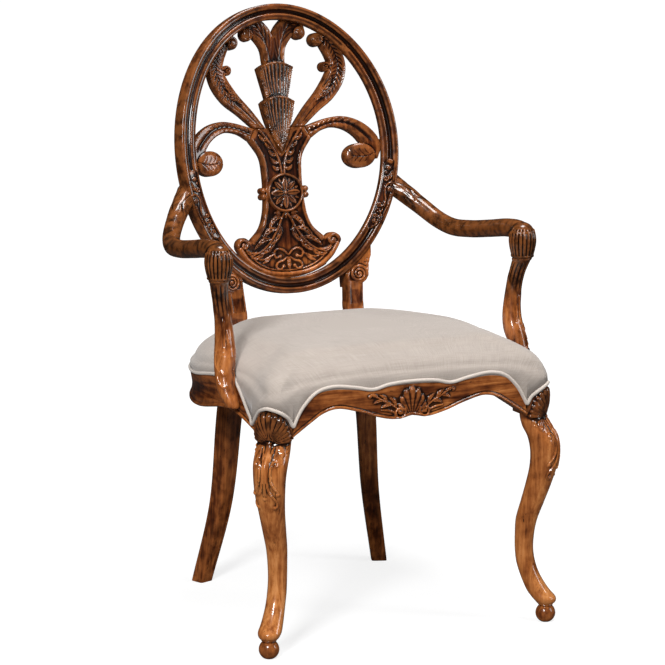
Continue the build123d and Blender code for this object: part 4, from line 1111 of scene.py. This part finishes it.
# Arms: one run from the oval to the reeded knuckle
ARM_STEP, ARM_ROUND, CARVED_LENGTH = 2.0, 16.5, 110
KNUCKLE, KNUCKLE_REACH, RIM_REACH = np.array((291.0, 147.0)), 26, 22
KNUCKLE_REEDS, RIM_HEIGHT, BEAD_HEIGHT = 10, 671, 629.0
arm_stations = [
    (196, 513, 730, 19), (220, 488, 706, 17.5), (246, 458, 680, 16.5), (265, 428, 659, 16),
    (277, 392, 649, 16), (285, 335, 652, 16), (289, 265, 662, 16), (290, 200, 672, 16.5),
    (290.5, 160, 673, 17.5), (291, 143, 668, 18.5),
]
knuckle_stations = [
    (626, 17.2), (632, 19.0), (642, 21.5), (655, 23.4), (666, 22.6), (676, 19.5), (684, 14.0), (688.5, 6.0),
]


def unit(rows):
    return rows / np.linalg.norm(rows, axis=1)[:, None]


def tube(line, radius, part_x, part_y, first, second):
    """Rows of points round a line, in two directions across it."""
    spokes = part_x[None, :, None] * first[:, None, :] + part_y[None, :, None] * second[:, None, :]
    return line[:, None, :] + radius * spokes


def welded(points, faces, voxel, rounds):
    """Overlapping closed shapes as one smooth skin: its points, normals and faces."""
    obj = mesh_object("weld", points / MM, faces)
    remesh = obj.modifiers.new("remesh", "REMESH")
    remesh.mode = "VOXEL"
    remesh.voxel_size = voxel / MM
    obj.modifiers.new("smooth", "SMOOTH").iterations = rounds
    result = bpy.data.meshes.new_from_object(evaluated(obj))
    bpy.data.objects.remove(obj)
    faces = [list(p.vertices) for p in result.polygons]
    return read_points(result) * MM, read_points(result, "normal"), faces


rows = curve(arm_stations, ARM_STEP)
line = rows[:, :3]
tangent = unit(np.gradient(line, axis=0))
sideways = unit(np.cross(tangent, (0, 0, 1)))
upward = np.cross(sideways, tangent)
angle, part_x, part_y = ring(72)
arm_run = skin(tube(line, rows[:, 3][:, None, None], part_x, part_y, upward, sideways))
rows = curve(knuckle_stations, 1.6)
height, radius = np.repeat(rows[:, :1], len(angle), 1), rows[:, 1:]
knuckle = skin(np.stack([KNUCKLE[0] + radius * part_x, KNUCKLE[1] + radius * part_y, height], -1))
points, normal, faces = welded(*joined(arm_run, knuckle), 1.5, 8)

height = points[:, 2]
gap_x, gap_y = (points[:, :2] - KNUCKLE).T
at_knuckle = gap_y < KNUCKLE_REACH
reed = np.abs(np.cos(np.arctan2(gap_x, -gap_y) * KNUCKLE_REEDS))
rim = RIM_HEIGHT + 5 * reed - 10 * ramp(gap_y, -6, 20)
reeded = ramp(height, 624, 630) * (1 - ramp(height, rim - 1.5, rim + 1.5)) * at_knuckle
shift = reeded * (1.9 * reed - 0.5) + 0.9 * hump(height, rim, 1.6) * (gap_y < RIM_REACH)
shift += half_round(height, BEAD_HEIGHT, 2.2, 1.4) * at_knuckle
nearest = np.argmin(((points[:, None, :] - line[None, ::3, :]) ** 2).sum(-1), 1) * 3
offset = points - line[nearest]
along, side, up = ((offset * way[nearest]).sum(1) for way in (tangent, sideways, upward))
along += nearest * ARM_STEP
face = Relief(np.stack([along, np.arctan2(side, up) * ARM_ROUND], 1), 0.0)
for base in (-20, 0, 20):
    face.leaf([(4, base), (26, base + 3), (52, base - 2), (78, base)], 10.0, 1.0, 3)
    face.stroke([(2, base + 9), (24, base + 12), (40, base + 8)], [2.0, 1.8, 1.0], 1.1)
    face.stroke([(60, base + 6), (74, base + 9), (88, base + 5)], [1.6, 1.8, 0.8], 0.9)
shift += np.where(along < CARVED_LENGTH, face.h, 0)
points = points + normal * shift[:, None]
both("arm", points, faces, (0, 1, 0), -0.02 - 0.08 * (1 - ramp(points[:, 2], 640, 668)) * at_knuckle)

# Seat: border of the cover, as its right-hand half and its mirror image
SEAT_MIDDLE = np.array((0.0, 242.0))
CROWN, UNDERSIDE, REAR_EDGE = 510.0, 437, (489.0, 434.0)
SUPPORT_GAP, SUPPORT_EASE, SUPPORT_LOW = 1.6, 10, 430
POST_GAP, POST_EASE, POST_SHIFT = 16.0, 9, 14
PUFF_FRAMES, PUFF_PRESSURE, PUFF_TENSION, PUFF_LIMIT = 20, 4.0, 25.0, 6.0
knee_arch = [
    (221.5, -4.5, 394.5), (228.6, -5.5, 408), (236.5, -9.2, 415.5), (245.6, -10.1, 421.5), (255.0, -7.6, 426),
    (262.5, -2, 428.5), (266.6, 3.8, 429), (269.3, 10.6, 427), (270.5, 17.8, 424.5), (270.5, 28, 419.5),
    (269.5, 41, 409), (268.0, 54, 398), (267, 66, 390),
]
front_run = [(x, -3.0, front_height(front_top, x) + 2) for x in np.linspace(0, 214, 50)]
plan, outward = side_plan()
side_run = np.hstack([plan + 1.5 * outward, height_along(side_top, plan[:, 1])[:, None] + 2])[plan[:, 1] > 70]
rear_run = [(x, *REAR_EDGE) for x in np.linspace(165, 0, 40)]
half = np.array(front_run + smooth_points(knee_arch) + side_run.tolist() + rear_run)
border = even(np.vstack([half, (half * (-1, 1, 1))[-2:0:-1], half[:1]]), 4.0)[:-1]


def evened(values, reach):
    """Values round the border with their sharp turns smoothed out."""
    k = np.arange(-3 * reach, 3 * reach + 1)
    weight = np.exp(-((k / reach) ** 2))
    index = (np.arange(len(values))[:, None] + k) % len(values)
    return (values[index] * (weight / weight.sum())[None, :, None]).sum(1)


def calmed(points, plan_reach, height_reach):
    """Points round the border, smoothed by one reach in plan and another in height."""
    return np.hstack([evened(points[:, :2], plan_reach), evened(points[:, 2:], height_reach)])


def cleared(points):
    """Points pushed out of the arm supports and the rear posts, as the cover is cut round them."""
    p = points.copy()
    x, y, z = np.abs(p[:, 0]), p[:, 1], p[:, 2]
    rows = curve(support_stations, 4.0)[::-1]
    cx, cy, hx, hy = (np.interp(z, rows[:, 2], rows[:, k]) for k in (0, 1, 3, 4))
    reach = np.clip(1 - ((y - cy) / (hy + SUPPORT_EASE)) ** 2, 0, None)
    inside = np.where(reach > 0, cx - (hx + SUPPORT_GAP) * np.sqrt(reach), np.inf)
    x = np.where(z > SUPPORT_LOW, np.minimum(x, inside), x)
    rows = curve(rear_stations, 4.0)
    cx, cy, wide, deep = (np.interp(z, rows[:, 2], rows[:, k]) for k in (0, 1, 3, 4))
    face = np.clip(1 - ((x - cx) / (wide / 2 + POST_EASE)) ** 6, 0, None)
    p[:, 1] = np.where(face > 0, np.minimum(y, cy + POST_SHIFT - (deep / 2 + POST_GAP) * face), y)
    p[:, 0] = np.sign(p[:, 0]) * x
    return p


def puffed(points, faces, free, most):
    """Points after a cloth simulation with pressure inside, moved no further than a limit."""
    obj = mesh_object("puff", metres(points), faces, outward=False)
    obj.vertex_groups.new(name="held").add(np.flatnonzero(~free).tolist(), 1.0, "REPLACE")
    cloth = obj.modifiers.new("cloth", "CLOTH").settings
    cloth.use_pressure = True
    cloth.uniform_pressure_force = PUFF_PRESSURE
    cloth.effector_weights.gravity = 0.0
    cloth.vertex_group_mass = "held"
    cloth.quality = 6
    cloth.tension_stiffness = PUFF_TENSION
    for number in range(1, PUFF_FRAMES + 1):
        scene.frame_set(number)
    move = read_points(evaluated(obj).to_mesh()) * MM + (0, FRONT_Y, 0) - points
    scene.frame_set(1)
    bpy.data.objects.remove(obj)
    size = np.linalg.norm(move, axis=1)[:, None]
    return points + move * np.minimum(1, most / np.maximum(size, 1e-6))


# Cushion: rings from the border up to the crown, blown up and calmed, then cut round the posts
ROUND_ROWS, REAR_POWER, FRONT_POWER = 30, 3.05, 4.3
flat = border - (*SEAT_MIDDLE, 0)
soft_flat = calmed(flat, 4, 18)
power = FRONT_POWER + (REAR_POWER - FRONT_POWER) * ramp(border[:, 1:2], 60, 380)
rings = [
    np.hstack([SEAT_MIDDLE + share * flat[:, :2], np.minimum(flat[:, 2:] + rise, UNDERSIDE)])
    for share, rise in ((0.86, 50), (0.94, 20), (0.985, 3))
]
under_rows = len(rings)
for a in np.linspace(0, math.pi / 2, ROUND_ROWS)[:-1]:
    spread, lift = math.cos(a) ** (2 / power), math.sin(a) ** (2 / power)
    fade = np.minimum(1.0, lift / 0.5) ** 0.6
    edge = flat * (1 - fade) + soft_flat * fade
    rings.append(np.hstack([SEAT_MIDDLE + spread * edge[:, :2], edge[:, 2:] + lift * (CROWN - edge[:, 2:])]))
points, faces = skin(np.array(rings))
points[-2:] = (*SEAT_MIDDLE, UNDERSIDE), (*SEAT_MIDDLE, CROWN)
row = np.concatenate([np.repeat(np.arange(len(rings)), len(border)), [0, len(rings)]])
points = puffed(points, faces, row > under_rows + 1, PUFF_LIMIT)
way = points[:, :2] - SEAT_MIDDLE
way /= np.maximum(np.linalg.norm(way, axis=1), 1e-6)[:, None]
shape = points[:-2].reshape(len(rings), len(border), 3)
for k in range(under_rows + 5, len(rings)):
    shape[k] += min(1.0, (k - under_rows - 4) / 10) * (calmed(shape[k], 5, 16) - shape[k])
points[:-2] = shape.reshape(-1, 3)
steps = np.linalg.norm(np.diff(shape, axis=0), axis=2)[::-1]
run = np.vstack([0 * steps[:1], np.cumsum(steps, 0)])[::-1].ravel()
flow = np.hstack([way * np.concatenate([run, [0, 0]])[:, None], np.zeros((len(way), 1))])
nodes = ["seat_cover", "seat_foam"]
cushion = piece("seat_cushion", cleared(points), faces, nodes, "linen", linen, flow, sharp=0)

# Welt: a closed round cord of cloth along the border
WELT = 3.1
line = even(cleared(np.vstack([border, border[:1]])), 2.2)
ahead = np.roll(line, -1, 0) - np.roll(line, 1, 0)
ahead[0] = ahead[-1] = line[1] - line[-2]
ahead = unit(ahead)
across = unit(np.cross(ahead, (0, 0, 1)))
angle, part_x, part_y = ring(16)
grid = tube(line, WELT, part_x, part_y, across, np.cross(across, ahead))[:-1]
index = np.arange(grid.shape[0] * grid.shape[1]).reshape(grid.shape[:2])
right, up = np.roll(index, -1, 0), np.roll(index, -1, 1)
faces = np.stack([index, right, np.roll(right, -1, 1), up], -1).reshape(-1, 4).tolist()
along = np.repeat(length_of(line)[:-1, None], len(angle), 1)
flow = np.stack([along + angle * WELT, along - angle * WELT, 0 * along], -1).reshape(-1, 3) * 0.7
# The welt wears the lighter copy of the linen, painted light on the cord.
piece("seat_welt", grid.reshape(-1, 3), faces, ["seat_welt"], "linen", welt_linen_painted_light, flow, sharp=0)

# Under the foam: webbing straps each way
WEB_LOW, WEB_THICK, WEB_WIDE, WEB_PITCH = 432.0, 1.5, 50.0, 78.0
WEB_FRONT, WEB_REAR, WEB_REAR_MIDDLE, WEB_INSET = 11.0, 447.0, 474.0, 13
strap_places = [i * WEB_PITCH for i in range(-2, 3)]


def strap(start, end, middle, crosswise, low):
    """One flat band between two ends, a closed thin strip."""
    run = np.linspace(start, end, 60)
    left, right, high = middle - WEB_WIDE / 2, middle + WEB_WIDE / 2, low + WEB_THICK
    sides = []
    for edge, z in ((left, low), (right, low), (right, high), (left, high)):
        ways = [run, 0 * run + edge] if crosswise else [0 * run + edge, run]
        sides.append(np.stack(ways + [0 * run + z], 1))
    return skin(np.stack(sides, 1))


def side_reach(y):
    """Half the length of a crosswise strap's edge at y."""
    line, way = side_plan()
    line = line - WEB_INSET * way
    return np.interp(y, line[:, 1], line[:, 0])


middles = [SEAT_MIDDLE[1] + offset for offset in strap_places]
reaches = [min(side_reach(y - WEB_WIDE / 2), side_reach(y + WEB_WIDE / 2)) for y in middles]
straps = [strap(-reach, reach, y, True, WEB_LOW + WEB_THICK) for reach, y in zip(reaches, middles)]
web = piece("webbing_crosswise", *joined(*straps), ["webbing_crosswise"], "webbing", jute, (1, 0, 0))
rears = [WEB_REAR if abs(x) > 100 else WEB_REAR_MIDDLE for x in strap_places]
straps = [strap(WEB_FRONT, rear, x, False, WEB_LOW) for rear, x in zip(rears, strap_places)]
web = piece("webbing_lengthwise", *joined(*straps), ["webbing_lengthwise"], "webbing", jute, (0, 1, 0))

# Dust cloth under the seat, inside the rails
DUST_LOW, DUST_THICK, DUST_INSET, DUST_REAR = 430.1, 1.2, 34.8, 452
plan, outward = side_plan(8.0)
inner = plan - DUST_INSET * outward
inner = inner[(inner[:, 1] > 44) & (inner[:, 1] < 448)]
dust_right = [(0, 32.6), (221, 32.6), (221, 43)] + inner.tolist()
dust_right += [(inner[-1][0] - 4, DUST_REAR), (148, DUST_REAR), (100, 450), (0, DUST_REAR)]
dust_loop = np.array(dust_right + mirrored(dust_right[-2:0:-1]))


def on_dust(q, h):
    return np.stack([q[:, 0], q[:, 1], DUST_LOW + h], 1)


def dust_face(q, d):
    return DUST_THICK + 0 * d


verts, faces, flow = slab([dust_loop], 9.0, dust_face, on_dust, 0.0, 0.0001)
dust = piece("dust_cover", verts, faces, ["dust_cover"], "dust_cloth", black_cloth, flow, sharp=0)
x, y = dust_loop.T

# Rear rail between the posts, plain with eased edges
start, end = np.array(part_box("rear_rail")) * MM + (0, FRONT_Y, 0)
middle, half = (start + end) / 2, (end - start) / 2
angle, part_x, part_y = ring(48, 14.0)
run = np.repeat(np.linspace(start[0], end[0], 60)[:, None], len(angle), 1)
grid = np.stack([run, middle[1] + half[1] * part_x + 0 * run, middle[2] + half[2] * part_y + 0 * run], -1)
carved("rear_rail", *skin(grid), (1, 0, 0), 0.4)

# Blocks, dowels and screws are shown as they were cut
for node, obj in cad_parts.items():
    if node.endswith(("screws", "dowels")) or "corner_block" in node:
        obj.data.materials.clear()
        obj.data.materials.append(steel if node.endswith("screws") else beech)

# Camera, as solved from the photograph
camera = bpy.data.objects.new("camera", bpy.data.cameras.new("camera"))
camera.data.lens = 155.81
camera.data.sensor_width = 36.0
camera.data.clip_end = 60.0
camera.location = (-2.1315, -4.5759, 1.4286)
camera.rotation_euler = (math.radians(79.449), 0, math.radians(-24.853))
scene.collection.objects.link(camera)
scene.camera = camera
scene.view_settings.view_transform = "Standard"


# Floor, world and soft studio light
WHITE = (1, 1, 1, 1)


def grey(level):
    return (level, level, level, 1)


def floor_look():
    """Pale floor that is white to the camera further out, and dark in reflections."""
    n = Nodes(bpy.data.materials.new("floor"))
    rays = n.new("ShaderNodeLightPath").outputs
    seen = rays["Is Camera Ray"]
    distance = n.new("ShaderNodeVectorMath", {0: n.place()}, operation="LENGTH").outputs["Value"]
    glow = n.span(distance, 0.5, 3.0, 0.80, 1.0)
    return n.paint({
        "Base Color": n.mix(rays["Is Glossy Ray"], n.mix(seen, grey(0.25), grey(0.34)), grey(0.04)),
        "Emission Color": WHITE,
        "Emission Strength": n.times(seen, glow),
        "Roughness": 0.9,
        "Specular IOR Level": 0.0,
    })


def studio_world():
    """White to the camera, dim to reflections, and a weak even light for the rest."""
    n = Nodes(bpy.data.worlds.new("studio"))
    rays = n.new("ShaderNodeLightPath").outputs
    ambient = n.tree.nodes["Background"]
    ambient.inputs[0].default_value = WHITE
    ambient.inputs[1].default_value = 0.06
    white, dim = (n.new("ShaderNodeBackground", {0: WHITE, 1: level}).outputs[0] for level in (1.0, 0.015))
    seen = n.new("ShaderNodeMixShader", {0: rays["Is Camera Ray"], 1: ambient.outputs[0], 2: white})
    mirror = n.new("ShaderNodeMixShader", {0: rays["Is Glossy Ray"], 1: seen.outputs[0], 2: dim})
    n.put(n.tree.nodes["World Output"].inputs[0], mirror.outputs[0])
    return n.owner


def lamp(name, place, aim, wide, tall, power):
    """Soft box that faces a point."""
    data = bpy.data.lights.new(name, "AREA")
    data.shape = "RECTANGLE"
    data.size, data.size_y, data.energy = wide, tall, power
    obj = bpy.data.objects.new(name, data)
    obj.location = place
    obj.rotation_euler = (Vector(aim) - Vector(place)).to_track_quat("-Z", "Y").to_euler()
    scene.collection.objects.link(obj)


FLOOR_REACH = 30
corners = [(-1, -1, 0), (1, -1, 0), (1, 1, 0), (-1, 1, 0)]
floor = mesh_object("floor", np.array(corners) * FLOOR_REACH, [(0, 1, 2, 3)], outward=False)
floor.data.materials.append(floor_look())
scene.world = studio_world()
lamp("key", (-2.4, -2.6, 2.5), (0, 0, 0.6), 0.8, 1.4, 150)
lamp("fill", (2.9, -2.4, 1.7), (0, 0, 0.6), 0.7, 2.2, 45)
lamp("top", (0.2, -0.4, 3.4), (0, 0, 0.5), 1.2, 1.2, 80)
